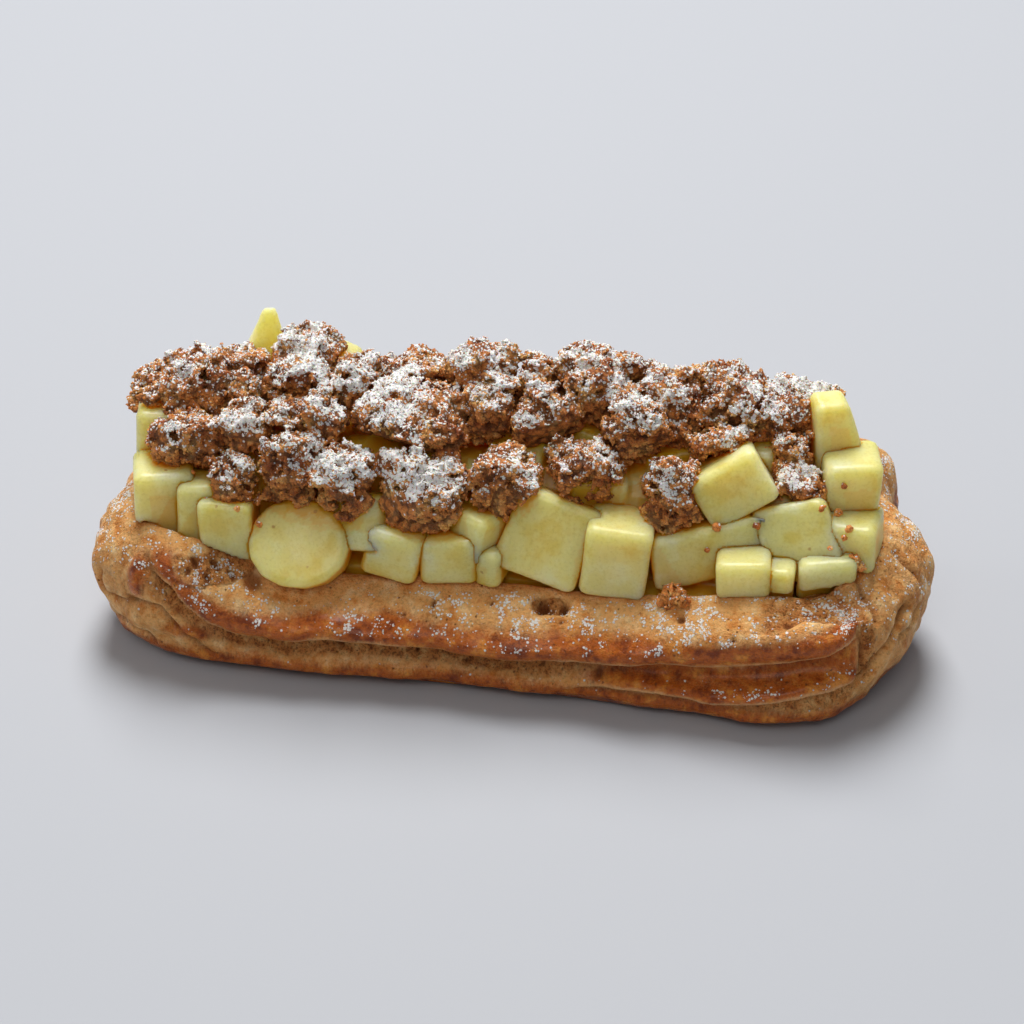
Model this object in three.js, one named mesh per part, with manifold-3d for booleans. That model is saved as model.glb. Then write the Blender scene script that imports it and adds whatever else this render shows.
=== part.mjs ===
// A long choux bun, cut open along its top, filled with apple dice and heaped with baked crumble pieces.
// Millimetres. X runs along the bun with +X at its broader end, -Y is the front, +Z is up, and Z = 0 is its foot.
import * as THREE from 'three';
import { ConvexGeometry } from 'three/addons/geometries/ConvexGeometry.js';
import { ImprovedNoise } from 'three/addons/math/ImprovedNoise.js';
import { mergeVertices } from 'three/addons/utils/BufferGeometryUtils.js';
import Module from 'manifold-3d';

const wasm = await Module();
wasm.setup();

const smooth = THREE.MathUtils.smoothstep;
const lerp = THREE.MathUtils.lerp;
const radians = THREE.MathUtils.degToRad;

const GAP = 0.3; // between pieces that touch
const FINENESS = 0.15; // how closely a cut surface is kept

// The bun seen from above: its widest outline, from the left tip along the front, round the broad end and back.
const OUTLINE = [
  [-72, -4], [-70, -13], [-61.5, -19.5], [-46, -22.3], [-20, -21.7], [4, -21.6], [28, -22.8], [49, -23],
  [60.5, -17.8], [66.8, -9], [70.3, 3], [68.6, 13], [63, 17.6], [63.6, 24], [57.5, 30.5], [45, 30],
  [22, 25], [0, 22.5], [-24, 22.8], [-46, 23.5], [-63, 18], [-70, 8],
];
const AXIS = new THREE.Line3(new THREE.Vector3(-50, 0, 0), new THREE.Vector3(46, 3, 0)); // the opening's middle
const STATIONS = 76; // round the outline
const PROFILE_STEPS = 19; // from the foot up the side and over the lip into the trough
const TROUGH_FLOOR = 12;

// The bun's side, as [how far inside the outline, height] from the foot to the trough's floor.
const MIDDLE_SIDE = [
  [6.5, 0], [3.4, 0.7], [1.7, 3.4], [2.9, 6.2], [2.4, 9], [0, 11], [0.9, 13],
  [3.7, 15.4], [7.2, 17.3], [10.2, 18.4], [11.4, 16.8], [12, TROUGH_FLOOR],
];
const BROAD_SIDE = [
  [6.5, 0], [1.8, 1.6], [0.5, 5], [0, 9], [2.3, 11.8], [2.2, 15], [0.8, 18],
  [2.4, 20], [6, 21], [10.5, 22.5], [11.8, 20.5], [12.4, TROUGH_FLOOR],
];
const BROAD_END = [
  [9, 0], [4.6, 1.8], [2.2, 5], [0.9, 8.5], [0.2, 12], [0, 15.5], [0.8, 18.6],
  [2.8, 21.6], [5.4, 24], [8.6, 25.4], [10, 23.5], [10.6, TROUGH_FLOOR],
];
const LEFT_END = [
  [7.5, 0], [3.4, 1.3], [1.7, 3.8], [1.2, 6.6], [0.6, 10], [0, 14], [0.3, 17.5],
  [1.4, 20.6], [3.4, 23.2], [6.6, 24.6], [8.4, 23], [9, TROUGH_FLOOR],
];
// Where the sides blend into one another, each from and to a place along the bun. The ends also set in where a
// station faces along the bun by so much.
const BROAD_BLEND = [8, 50];
const LEFT_BLEND = [34, 62];
const FACING_BLEND = [0.25, 0.9];
const FAR_CORNER = { x: 55, width: 16, depth: [8, 26], rise: 0.36 }; // it stands this share taller
const SWELLS = [[13, 1.1], [5.3, 0.7]]; // the crust's unevenness: wavelength and depth
const SWELL_FROM = 4; // it is full above this height and none at the foot

// The bed: apple packed in the trough, under the pieces that show. It is a mound with rows of pieces fused on top.
// Each level is a share of the trough's width, a height, and how far that level lies to the back.
const BED_LEVELS = [
  [1, TROUGH_FLOOR + GAP, 0], [1, 17.6, 0], [0.72, 18.6, 0], [0.69, 27, 1.6], [0.6, 32, 2.8], [0.45, 34.5, 3.6],
];
const BED_ROWS = [{ to: 24, y: 0, z: 31, seed: 100 }, { to: 46, y: 9.4, z: 33, seed: 131 }]; // front and back
const BED_PITCH = 12.6;
const BED_PIECE = [10, 9, 10];
const BED_DISORDER = { place: [1.2, 1, 1], turn: 24, tilt: 12 };

// Apple pieces. One that shows whole stands in the list before a neighbour that makes room for it.
// Size is length, width, height and x, y, z is the middle of the piece. Turn is about Z, roll raises
// the right end and lean tips the top back, all in degrees.
const APPLE_PIECES = [
  { size: [17, 15, 7], x: -35.2, y: -11.6, z: 22.6, lean: -48, round: true },
  { size: [8.5, 9, 11], x: -47.6, y: -9.8, z: 24.4, turn: 2, lean: 6 },
  { size: [6, 9, 12], x: -53.6, y: -7.9, z: 25.6, turn: 10, lean: 4 },
  { size: [9.5, 9, 13], x: -59.6, y: -6.6, z: 26.6, turn: 14 },
  { size: [12, 9, 13], x: -59.6, y: 2.6, z: 33, turn: 8 },
  { size: [14, 8, 9], x: -26.9, y: -7.6, z: 26.2, turn: -20, roll: 14, lean: 25, round: true },
  { size: [9, 9, 8.5], x: -18.6, y: -9.6, z: 23.4, turn: -8, roll: -8 },
  { size: [9, 8, 8], x: -9.8, y: -9.8, z: 22.8, turn: 6, roll: 4 },
  { size: [14, 9, 14], x: 6.6, y: -6.4, z: 25.6, turn: -6, roll: -14, lean: 26 },
  { size: [8, 12, 8], x: -4.4, y: -6.4, z: 26.2, turn: -35, lean: 10 },
  { size: [5, 7, 6.5], x: -2.9, y: -10, z: 22, turn: -12 },
  { size: [10.5, 10, 12], x: 18.3, y: -8, z: 25, turn: 4, roll: -5, lean: 4 },
  { size: [8.5, 7, 8.5], x: 39.8, y: -10.4, z: 23.2, turn: 4, lean: 5 },
  { size: [4.5, 7, 7], x: 45.7, y: -9.4, z: 22.8, turn: -4 },
  { size: [12, 6, 13], x: 48.4, y: -4.4, z: 27.6, turn: 8, roll: 18, lean: 32 },
  { size: [20, 8, 9], x: 33.3, y: -4.6, z: 25.4, turn: 14, roll: 12, lean: 12 },
  { size: [12, 9, 9], x: 36.3, y: -0.4, z: 35, turn: 20, roll: 26, lean: 22 },
  { size: [9, 9, 14], x: 52.2, y: 8.8, z: 41, turn: 20, roll: 6, taper: 0.45 },
  { size: [9, 9, 12], x: 55.5, y: 3.8, z: 34, turn: 12 },
  { size: [9, 9, 8], x: 56.7, y: -2.2, z: 28, turn: -8 },
  { size: [9, 7, 7], x: 53, y: -7.4, z: 24, turn: 12 },
  { size: [12, 5, 16], x: -46, y: 15.5, z: 43.4, turn: 10, roll: -8, taper: 0.85 },
  { size: [8, 6, 12], x: -35.2, y: 15.8, z: 39.6, turn: -14, roll: -14 },
];
const BACK_PIECES = 6; // more apple along the back lip
const BACK_ROW = { from: -52, to: 46, y: 13.4, z: 27.5, size: [15, 10.5, 11.5] };
const BACK_DISORDER = { size: 1.5, place: [2, 1, 1.5], turn: 25, lean: 15 };
const BLUNT_EDGE = 0.6;
const SKEW = 0.07; // how far the cuts are out of square

// Crumble pieces, the front ones first. Size is length, width, height.
const CRUMBLE_PIECES = [
  { size: [13, 11, 11], x: 11.3, y: -0.5, z: 35.5, turn: 8 },
  { size: [12, 10, 11], x: -0.8, y: -4.2, z: 34.8, turn: 4 },
  { size: [15, 12, 13], x: -15.6, y: -6.4, z: 33, turn: -8, lean: 26 },
  { size: [10, 9, 11], x: -27.7, y: -8.2, z: 34, turn: 10 },
  { size: [10, 8, 13], x: -37.8, y: -7, z: 36, turn: -6, lean: 10 },
  { size: [8, 7, 8], x: -46.6, y: -8.3, z: 33, turn: 0 },
  { size: [14, 9, 9], x: -54.8, y: -3, z: 37, turn: 8, roll: -8 },
  { size: [9, 8, 13], x: 26.6, y: -4, z: 34, lean: 12 },
  { size: [10, 8, 7], x: 47.4, y: 1.8, z: 35, turn: -6 },
  { size: [11, 6, 6], x: 33.6, y: 4.4, z: 39.4, turn: 6, roll: 12 },
  { size: [10, 9, 8], x: -45.5, y: -2.2, z: 39 },
  { size: [12, 10, 9], x: -35.5, y: -0.5, z: 41, turn: -10 },
  { size: [20, 17, 7], x: -17, y: 2, z: 42, turn: -18, roll: -16, lean: -8 },
  { size: [12, 11, 10], x: -5.8, y: 5.6, z: 42 },
  { size: [14, 9, 9], x: 3.8, y: 5.4, z: 41.6, turn: 24, roll: 20 },
  { size: [10, 10, 12], x: 19.4, y: 4.8, z: 41.6, turn: 12 },
  { size: [10, 9, 8], x: 47.6, y: 7.4, z: 38.5 },
  { size: [15, 12, 6.5], x: -60.6, y: 5.8, z: 41.4, turn: 10, roll: 24 },
  { size: [13, 12, 10], x: -49.6, y: 6.8, z: 42 },
  { size: [11, 10, 9], x: -38, y: 5.4, z: 44 },
  { size: [12, 11, 10], x: -27.6, y: 6.6, z: 43.6, turn: 16 },
  { size: [14, 12, 14], x: 24.4, y: 11.4, z: 41.4 },
  { size: [14, 12, 14], x: 34.6, y: 12.4, z: 41.4, turn: -12 },
  { size: [17, 13, 14], x: 45, y: 12.6, z: 39.5, turn: -14 },
  { size: [16, 12, 14], x: 12, y: 12, z: 42.7, turn: -6 },
  { size: [13, 11, 14], x: -8.2, y: 12, z: 42.9 },
  { size: [12, 11, 13], x: -37.6, y: 12, z: 43.5, turn: 12 },
  { size: [13, 10, 12], x: -20, y: 13, z: 40.1 },
  { size: [9, 9, 12], x: 1.8, y: 13.6, z: 41.6 },
];
const CORNER_POWER = 3.2; // 2 would be an egg, more is squarer
const LUMPS = [[0.9, 0.2], [0.42, 0.14]]; // wavelength and depth, as shares of the piece

// Uneven surfaces: smooth noise of about the given wavelength, and a seeded draw between -size and size.
const perlin = new ImprovedNoise();
const noise = (p, wavelength, shift = 0.37) =>
  perlin.noise(p.x / wavelength + shift, p.y / wavelength, p.z / wavelength + shift);
const draw = (seed, turn, size) => {
  const value = Math.sin(seed * 127.1 + turn * 311.7) * 43758.5453;
  return (2 * (value - Math.floor(value)) - 1) * size;
};
const bump = (value, centre, width) => Math.exp(-(((value - centre) / width) ** 2));

// The stations round the outline: a point of the axis, the way out from it and how far the outline lies.
const outline = new THREE.CatmullRomCurve3(OUTLINE.map(([x, y]) => new THREE.Vector3(x, y, 0)), true);
const AROUND = outline.getSpacedPoints(STATIONS).slice(0, STATIONS).map((point) => {
  const centre = AXIS.closestPointToPoint(point, true, new THREE.Vector3());
  const way = point.clone().sub(centre);
  const reach = way.length();
  return { point, centre, reach, way: way.normalize() };
});
const placeAt = (station, out, height) => station.centre.clone().addScaledVector(station.way, out).setZ(height);

// The side's profile at a station, blended from the four above.
function profileAt({ point, way }) {
  const end = smooth(Math.abs(way.x), ...FACING_BLEND);
  const broad = smooth(point.x, ...BROAD_BLEND);
  const left = smooth(-point.x, ...LEFT_BLEND);
  const farCorner = bump(point.x, FAR_CORNER.x, FAR_CORNER.width) * smooth(point.y, ...FAR_CORNER.depth);
  const rise = 1 + FAR_CORNER.rise * farCorner;
  return MIDDLE_SIDE.map((middle, i) => {
    const along = [0, 1].map((k) => lerp(middle[k], BROAD_SIDE[i][k], broad));
    const tip = point.x > 0 ? BROAD_END[i] : LEFT_END[i];
    const share = Math.max(end, left);
    const atFloor = i === MIDDLE_SIDE.length - 1;
    return new THREE.Vector2(lerp(along[0], tip[0], share), lerp(along[1], tip[1], share) * (atFloor ? 1 : rise));
  });
}

// A closed surface from loops of points stacked from the bottom up, with a flat cap on the first and the last.
function stackLoops(loops) {
  const count = loops[0].length;
  const corners = [];
  const face = (...points) => points.forEach((p) => corners.push(p.x, p.y, p.z));
  for (let k = 0; k + 1 < loops.length; k++) {
    for (let i = 0; i < count; i++) {
      const next = (i + 1) % count;
      face(loops[k][i], loops[k][next], loops[k + 1][next]);
      face(loops[k][i], loops[k + 1][next], loops[k + 1][i]);
    }
  }
  const [bottom, top] = [loops[0], loops[loops.length - 1]];
  THREE.ShapeUtils.triangulateShape(bottom, []).forEach(([a, b, c]) => face(bottom[a], bottom[c], bottom[b]));
  THREE.ShapeUtils.triangulateShape(top, []).forEach(([a, b, c]) => face(top[a], top[b], top[c]));
  return new THREE.BufferGeometry().setAttribute('position', new THREE.Float32BufferAttribute(corners, 3));
}

// The bun, larger all over by grow where it is to cut clear of another piece.
function bunSurface(grow = 0) {
  const sides = AROUND.map((station) => new THREE.SplineCurve(profileAt(station)).getPoints(PROFILE_STEPS));
  const loops = [];
  for (let k = 0; k <= PROFILE_STEPS; k++) {
    loops.push(AROUND.map((station, i) => {
      const { x: inset, y: height } = sides[i][k];
      const before = sides[i][Math.max(0, k - 1)];
      const after = sides[i][Math.min(PROFILE_STEPS, k + 1)];
      const outward = new THREE.Vector2(after.y - before.y, after.x - before.x).normalize();
      const place = placeAt(station, station.reach - inset, height);
      const free = k < PROFILE_STEPS - 2 ? smooth(height, 0, SWELL_FROM) : 0;
      const unevenness = SWELLS.reduce((sum, [wavelength, depth]) => sum + depth * noise(place, wavelength), 0);
      const swell = free * unevenness + grow;
      const out = station.reach - inset + outward.x * swell;
      return placeAt(station, out, Math.max(0, height + outward.y * swell));
    }));
  }
  return stackLoops(loops);
}

// Solids and surfaces: a closed surface becomes a solid that can be joined and cut, and back.
function toSolid(surface) {
  const bare = surface.clone();
  bare.deleteAttribute('normal');
  bare.deleteAttribute('uv');
  const merged = mergeVertices(bare);
  return new wasm.Manifold(new wasm.Mesh({
    numProp: 3,
    vertProperties: new Float32Array(merged.attributes.position.array),
    triVerts: new Uint32Array(merged.index.array),
  }));
}

function toSurface(solid) {
  const { vertProperties, triVerts } = solid.getMesh();
  const surface = new THREE.BufferGeometry();
  surface.setAttribute('position', new THREE.Float32BufferAttribute(vertProperties, 3));
  return surface.setIndex(new THREE.Uint32BufferAttribute(triVerts, 1));
}

const largest = (solid) => solid.decompose().sort((a, b) => b.volume() - a.volume())[0];

// How a piece lies: its top tipped back by lean, its right end raised by roll, then turned about Z and placed.
function laid({ x = 0, y = 0, z = 0, turn = 0, roll = 0, lean = 0 }) {
  const angles = new THREE.Euler(-radians(lean), -radians(roll), radians(turn), 'ZYX');
  return new THREE.Matrix4().makeRotationFromEuler(angles).setPosition(x, y, z);
}

// A cut piece of apple: a block, or a slice with a round outline, with blunt edges and a little out of square.
const ROUND_SIDES = 14;
const blockOutline = (x, y) => {
  const [bx, by] = [x - BLUNT_EDGE, y - BLUNT_EDGE];
  return [[x, -by], [x, by], [bx, y], [-bx, y], [-x, by], [-x, -by], [-bx, -y], [bx, -y]];
};
const roundOutline = (x, y) => Array.from({ length: ROUND_SIDES }, (_, i) => {
  const angle = (2 * Math.PI * i) / ROUND_SIDES;
  return [x * Math.cos(angle), y * Math.sin(angle)];
});

function appleSurface({ size, round = false, taper = 0, ...lie }, seed, grow = 0) {
  const [x, y, z] = size.map((side) => side / 2 + grow);
  const levels = [[-z, BLUNT_EDGE], [BLUNT_EDGE - z, 0], [z - BLUNT_EDGE, 0], [z, BLUNT_EDGE]];
  const points = levels.flatMap(([level, inset]) => {
    const width = 1 - taper * (0.5 + level / (2 * z));
    const edge = (round ? roundOutline : blockOutline)(x - inset, y - inset);
    return edge.map(([px, py]) => new THREE.Vector3(
      px * width + draw(seed, 1, SKEW) * level,
      py * width + draw(seed, 2, SKEW) * level,
      level + draw(seed, 3, SKEW) * px + draw(seed, 4, SKEW) * py,
    ));
  });
  return new ConvexGeometry(points).applyMatrix4(laid(lie));
}

// A crumble piece: a rounded block with lumps.
function crumbleSurface({ size, ...lie }, seed, grow = 0) {
  const ball = new THREE.IcosahedronGeometry(1, 2);
  const corner = ball.attributes.position;
  const way = new THREE.Vector3();
  for (let i = 0; i < corner.count; i++) {
    way.fromBufferAttribute(corner, i);
    const power = way.toArray().reduce((sum, share) => sum + Math.abs(share) ** CORNER_POWER, 0);
    const lumps = LUMPS.reduce((sum, [wavelength, depth]) => sum + depth * noise(way, wavelength, seed * 3.71), 1);
    const reach = power ** (-1 / CORNER_POWER) * lumps;
    corner.setXYZ(i, ...way.toArray().map((share, k) => share * ((reach * size[k]) / 2 + grow)));
  }
  return ball.applyMatrix4(laid(lie));
}

// The bed in the trough: a mound with the tops of cut apple pieces fused on.
function bedSolid(grow = 0) {
  const loops = BED_LEVELS.map(([share, height, back], level) => AROUND.map((station) => {
    const trough = station.reach - profileAt(station).at(-1).x - 2 * GAP + grow;
    const place = placeAt(station, trough * share, height + (level === 0 ? -grow : grow));
    return place.setY(place.y + back);
  }));
  let bed = toSolid(stackLoops(loops));
  BED_ROWS.forEach(({ to, y, z, seed: firstSeed }) => {
    for (let x = AXIS.start.x; x <= to; x += BED_PITCH) {
      const seed = firstSeed + x;
      const [offX, offY, offZ] = BED_DISORDER.place.map((size, k) => draw(seed, 5 + k, size));
      const piece = {
        size: BED_PIECE,
        x: x + offX,
        y: y + offY,
        z: z + offZ,
        turn: draw(seed, 8, BED_DISORDER.turn),
        roll: draw(seed, 9, BED_DISORDER.tilt),
        lean: draw(seed, 10, BED_DISORDER.tilt),
      };
      bed = bed.add(toSolid(appleSurface(piece, seed, grow)));
    }
  });
  return largest(bed.asOriginal().simplify(FINENESS));
}

// Cutting pieces clear of each other: a piece is cut by its neighbours, made larger by the gap.
const cutBy = (solid, cutters) => {
  const near = cutters.filter((cutter) => !solid.intersect(cutter).isEmpty());
  return largest(wasm.Manifold.difference([solid, ...near]).asOriginal().simplify(FINENESS));
};

const middleOf = (solid) => {
  const { min, max } = solid.boundingBox();
  return new THREE.Vector3(...min).add(new THREE.Vector3(...max)).divideScalar(2);
};

// Crumbly neighbours that press on each other are both cut back to a plane between them.
function partNeighbours(solids) {
  solids.forEach((_, j) => {
    for (let i = 0; i < j; i++) {
      const shared = solids[i].intersect(solids[j]);
      if (shared.isEmpty()) continue;
      const way = middleOf(solids[j]).sub(middleOf(solids[i])).normalize();
      const level = way.dot(middleOf(shared));
      solids[i] = solids[i].trimByPlane(way.clone().negate().toArray(), GAP / 2 - level);
      solids[j] = solids[j].trimByPlane(way.toArray(), GAP / 2 + level);
    }
  });
}

const bun = toSolid(bunSurface()).simplify(FINENESS / 2);
const bed = bedSolid();

const backPieces = Array.from({ length: BACK_PIECES }, (_, i) => {
  const [offX, offY, offZ] = BACK_DISORDER.place.map((size, k) => draw(i, 14 + k, size));
  return {
    size: BACK_ROW.size.map((side, k) => side + draw(i, 11 + k, BACK_DISORDER.size)),
    x: lerp(BACK_ROW.from, BACK_ROW.to, i / (BACK_PIECES - 1)) + offX,
    y: BACK_ROW.y + offY,
    z: BACK_ROW.z + offZ,
    turn: draw(i, 17, BACK_DISORDER.turn),
    lean: draw(i, 18, BACK_DISORDER.lean),
  };
});
const cutters = [toSolid(bunSurface(GAP)), bedSolid(GAP)];
const apple = [...APPLE_PIECES, ...backPieces].map((piece, seed) => {
  const solid = cutBy(toSolid(appleSurface(piece, seed)), cutters);
  cutters.push(toSolid(appleSurface(piece, seed, GAP)));
  return solid;
});
const crumble = CRUMBLE_PIECES.map((piece, seed) => toSolid(crumbleSurface(piece, seed)));
partNeighbours(crumble);

const paint = (color, roughness) => new THREE.MeshStandardMaterial({ color, roughness, metalness: 0 });
const dessert = new THREE.Group();

function addMesh(name, solid, material) {
  const mesh = new THREE.Mesh(toSurface(solid), material);
  mesh.name = name;
  dessert.add(mesh);
}

const numbered = (name, index) => `${name}_${String(index + 1).padStart(2, '0')}`;
addMesh('choux_bun', bun, paint('#a8713c', 0.7));
addMesh('apple_bed', bed, paint('#b99a3c', 0.45));
apple.forEach((solid, i) => addMesh(numbered('apple_piece', i), solid, paint('#c7b668', 0.4)));
crumble.forEach((solid, i) => addMesh(numbered('crumble_piece', i), cutBy(solid, cutters), paint('#8a5530', 0.9)));

// The origin is under the middle of the whole, at its foot.
const whole = new THREE.Box3().setFromObject(dessert);
const middle = whole.getCenter(new THREE.Vector3());
dessert.position.set(-middle.x, -middle.y, -whole.min.z);

export default dessert;
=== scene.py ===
# %% [markdown]
# # A long choux bun with apple and crumble
#
# The dessert is a long bun of choux pastry, cut open along its top, filled with cut apple and heaped with
# baked crumble under icing sugar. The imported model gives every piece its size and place. This lesson gives
# each piece the surface of the real food: the crust and pores of the bun, the soft edges of cooked apple,
# the grains of the crumble and the sugar that has snowed on everything that faces up.

# %% The frame
import math

import bmesh
import bpy
import numpy as np
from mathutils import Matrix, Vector, noise
from mathutils.bvhtree import BVHTree


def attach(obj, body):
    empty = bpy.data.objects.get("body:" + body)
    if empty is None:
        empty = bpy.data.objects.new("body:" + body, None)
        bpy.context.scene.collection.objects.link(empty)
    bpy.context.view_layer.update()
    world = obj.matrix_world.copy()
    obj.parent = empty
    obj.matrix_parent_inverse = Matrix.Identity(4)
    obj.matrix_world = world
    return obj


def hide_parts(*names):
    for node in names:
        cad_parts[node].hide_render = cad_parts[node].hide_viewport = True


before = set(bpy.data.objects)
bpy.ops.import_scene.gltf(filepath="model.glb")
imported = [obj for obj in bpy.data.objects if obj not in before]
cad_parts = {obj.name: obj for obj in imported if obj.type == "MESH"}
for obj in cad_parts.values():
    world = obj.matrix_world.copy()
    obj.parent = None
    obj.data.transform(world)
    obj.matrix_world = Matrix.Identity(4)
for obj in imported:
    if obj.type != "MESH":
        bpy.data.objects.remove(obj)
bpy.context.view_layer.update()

MM = 0.001
CHOUX = "choux_bun"
APPLE_BED = "apple_bed"
APPLE_PIECES = sorted(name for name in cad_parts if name.startswith("apple_piece"))
CRUMBLE_PIECES = sorted(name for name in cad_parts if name.startswith("crumble_piece"))

# %% [markdown]
# ## Reading and writing a mesh
#
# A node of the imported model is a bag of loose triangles. Its copy is merged first, then remeshed in small
# even voxels, so that there are enough points to model with. NumPy moves all the points of a mesh at once,
# which is far quicker than a loop. All sizes in these cells are millimetres, and a mesh is in metres.

# %% Mesh helpers
MERGE_DISTANCE = 0.001
SMOOTH_FACTOR = 0.5


def read_mesh(piece):
    """The points in millimetres and the normals of a mesh, as two arrays of rows."""
    mesh = piece.data
    points = np.zeros(len(mesh.vertices) * 3)
    normals = np.zeros(len(mesh.vertices) * 3, np.float32)
    mesh.vertices.foreach_get("co", points)
    mesh.vertex_normals.foreach_get("vector", normals)
    return points.reshape(-1, 3) / MM, normals.reshape(-1, 3).astype(float)


def write_points(piece, points):
    piece.data.vertices.foreach_set("co", (points * MM).ravel())
    piece.data.update()


def read_values(piece, name):
    values = np.zeros(len(piece.data.vertices), np.float32)
    piece.data.attributes[name].data.foreach_get("value", values)
    return values.astype(float)


def write_values(piece, name, values):
    """Stores one number for each point, which a material or a node tree reads by its name."""
    attribute = piece.data.attributes.new(name, "FLOAT", "POINT")
    attribute.data.foreach_set("value", np.clip(values, 0, 1).astype(np.float32))


def link_mesh(mesh, name):
    piece = bpy.data.objects.new(name, mesh)
    bpy.context.scene.collection.objects.link(piece)
    return piece


def settle(piece):
    """Makes what the modifiers show into the piece's own plain mesh."""
    graph = bpy.context.evaluated_depsgraph_get()
    shown = piece.evaluated_get(graph)
    made = bpy.data.meshes.new_from_object(shown, preserve_all_data_layers=True, depsgraph=graph)
    piece.modifiers.clear()
    old, piece.data = piece.data, made
    bpy.data.meshes.remove(old)


def remeshed_copy(node, name, voxel, rounds):
    """A merged copy of a node, remeshed in voxels of that size and smoothed that many times."""
    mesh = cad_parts[node].data.copy()
    work = bmesh.new()
    work.from_mesh(mesh)
    bmesh.ops.remove_doubles(work, verts=work.verts, dist=MERGE_DISTANCE * MM)
    work.to_mesh(mesh)
    work.free()
    for attribute in list(mesh.attributes):
        if not attribute.is_required and not attribute.is_internal:
            mesh.attributes.remove(attribute)
    mesh.materials.clear()
    piece = link_mesh(mesh, name)
    remesh = piece.modifiers.new("voxels", "REMESH")
    remesh.mode = "VOXEL"
    remesh.voxel_size = voxel * MM
    remesh.use_smooth_shade = True
    smooth = piece.modifiers.new("soften", "SMOOTH")
    smooth.factor = SMOOTH_FACTOR
    smooth.iterations = rounds
    settle(piece)
    return piece


# %% [markdown]
# ## Soft steps and noise
#
# Relief on a mesh is a sum of soft steps and of noise. A soft step goes from none to one between two
# values. Noise of a few sizes on top of one another looks grown instead of made: each size has its own
# height and its own shift, so that their bumps don't fall together.

# %% Steps and noise
def smoothstep(value, low, high):
    share = np.clip((value - low) / (high - low), 0, 1)
    return share * share * (3 - 2 * share)


def bumps(points, size, shift=0.0):
    """Smooth noise between about -1 and 1, with bumps about as wide as size."""
    return np.array([noise.noise(point) for point in (points / size + shift).tolist()])


def waves(points, rows):
    """The sum of several noises, each given as (height, size, shift)."""
    return sum(height * bumps(points, size, shift) for height, size, shift in rows)


# %% [markdown]
# ## Building node trees
#
# Geometry node trees and material trees are built with the same few helpers. A value given to an input is
# either set on the socket, or linked if it is another node's output. Lengths in the trees are in
# millimetres too, and these helpers turn them into metres or into the scale of a pattern.

# %% Node helpers
def add(tree, kind, inputs=None, **settings):
    """A new node. Inputs are named or counted, and each is a value or another node's output."""
    made = tree.nodes.new(kind)
    for name, value in settings.items():
        setattr(made, name, value)
    for key, value in (inputs or {}).items():
        if isinstance(value, bpy.types.NodeSocket):
            tree.links.new(value, made.inputs[key])
        else:
            made.inputs[key].default_value = value
    return made


def reckon(tree, operation, first, second=0.0):
    return add(tree, "ShaderNodeMath", {0: first, 1: second}, operation=operation).outputs[0]


def total(tree, *terms):
    """The sum of terms, each a value or a pair of a value and its weight."""
    result = None
    for term in terms:
        part = reckon(tree, "MULTIPLY", *term) if isinstance(term, tuple) else term
        result = part if result is None else reckon(tree, "ADD", result, part)
    return result


def vectors(tree, operation, first, second):
    made = add(tree, "ShaderNodeVectorMath", {0: first, 1: second}, operation=operation)
    return made.outputs["Value"] if operation in ("DOT_PRODUCT", "DISTANCE") else made.outputs[0]


def scaled(tree, vector, factor):
    return add(tree, "ShaderNodeVectorMath", {0: vector, "Scale": factor}, operation="SCALE").outputs[0]


def in_metres(tree, length):
    return reckon(tree, "MULTIPLY", length, MM)


def in_millimetres(tree, length):
    return reckon(tree, "DIVIDE", length, MM)


def pattern_scale(tree, size):
    """The scale of a pattern whose features are that many millimetres wide."""
    return reckon(tree, "DIVIDE", 1 / MM, size)


def ramp(tree, value, low, high, to_low=0.0, to_high=1.0):
    """Turns low to high into to_low to to_high, smoothly and with no overshoot."""
    inputs = {0: value, 1: low, 2: high, 3: to_low, 4: to_high}
    return add(tree, "ShaderNodeMapRange", inputs, interpolation_type="SMOOTHSTEP").outputs[0]


def texture(tree, size, detail=2.0, roughness=0.5, place=None):
    """Noise of about 0.3 to 0.7 around 0.5, with features about as wide as size in millimetres."""
    inputs = {"Scale": pattern_scale(tree, size), "Detail": detail, "Roughness": roughness}
    if place is not None:
        inputs["Vector"] = place
    return add(tree, "ShaderNodeTexNoise", inputs).outputs[0]


def blend(tree, share, first, second):
    """The first colour where the share is 0, and the second where it is 1."""
    return add(tree, "ShaderNodeMix", {0: share, 6: first, 7: second}, data_type="RGBA").outputs[2]


def read(tree, name):
    """A number stored on the mesh by that name."""
    if tree.bl_idname == "ShaderNodeTree":
        return add(tree, "ShaderNodeAttribute", attribute_name=name).outputs["Fac"]
    return add(tree, "GeometryNodeInputNamedAttribute", {"Name": name}, data_type="FLOAT").outputs[0]


# %% [markdown]
# ## Trees with named inputs
#
# Each tree is a group with named sockets, so its sizes can be changed where it is used. A geometry tree
# runs as a modifier, whose inputs are set by the identifiers of the sockets. Its result is then made into a
# plain mesh.

# %% Tree helpers
GEOMETRY, NUMBER, WHOLE = "NodeSocketGeometry", "NodeSocketFloat", "NodeSocketInt"
VECTOR, COLOUR, MATERIAL = "NodeSocketVector", "NodeSocketColor", "NodeSocketMaterial"


def new_tree(name, kind, inputs, outputs):
    """A node group with named sockets, given as (name, socket type, default)."""
    tree = bpy.data.node_groups.new(name, kind)
    for in_out, sockets in (("INPUT", inputs), ("OUTPUT", outputs)):
        for socket_name, socket_type, *default in sockets:
            socket = tree.interface.new_socket(name=socket_name, in_out=in_out, socket_type=socket_type)
            if default:
                socket.default_value = default[0]
    return tree, tree.nodes.new("NodeGroupInput").outputs, tree.nodes.new("NodeGroupOutput").inputs


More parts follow.
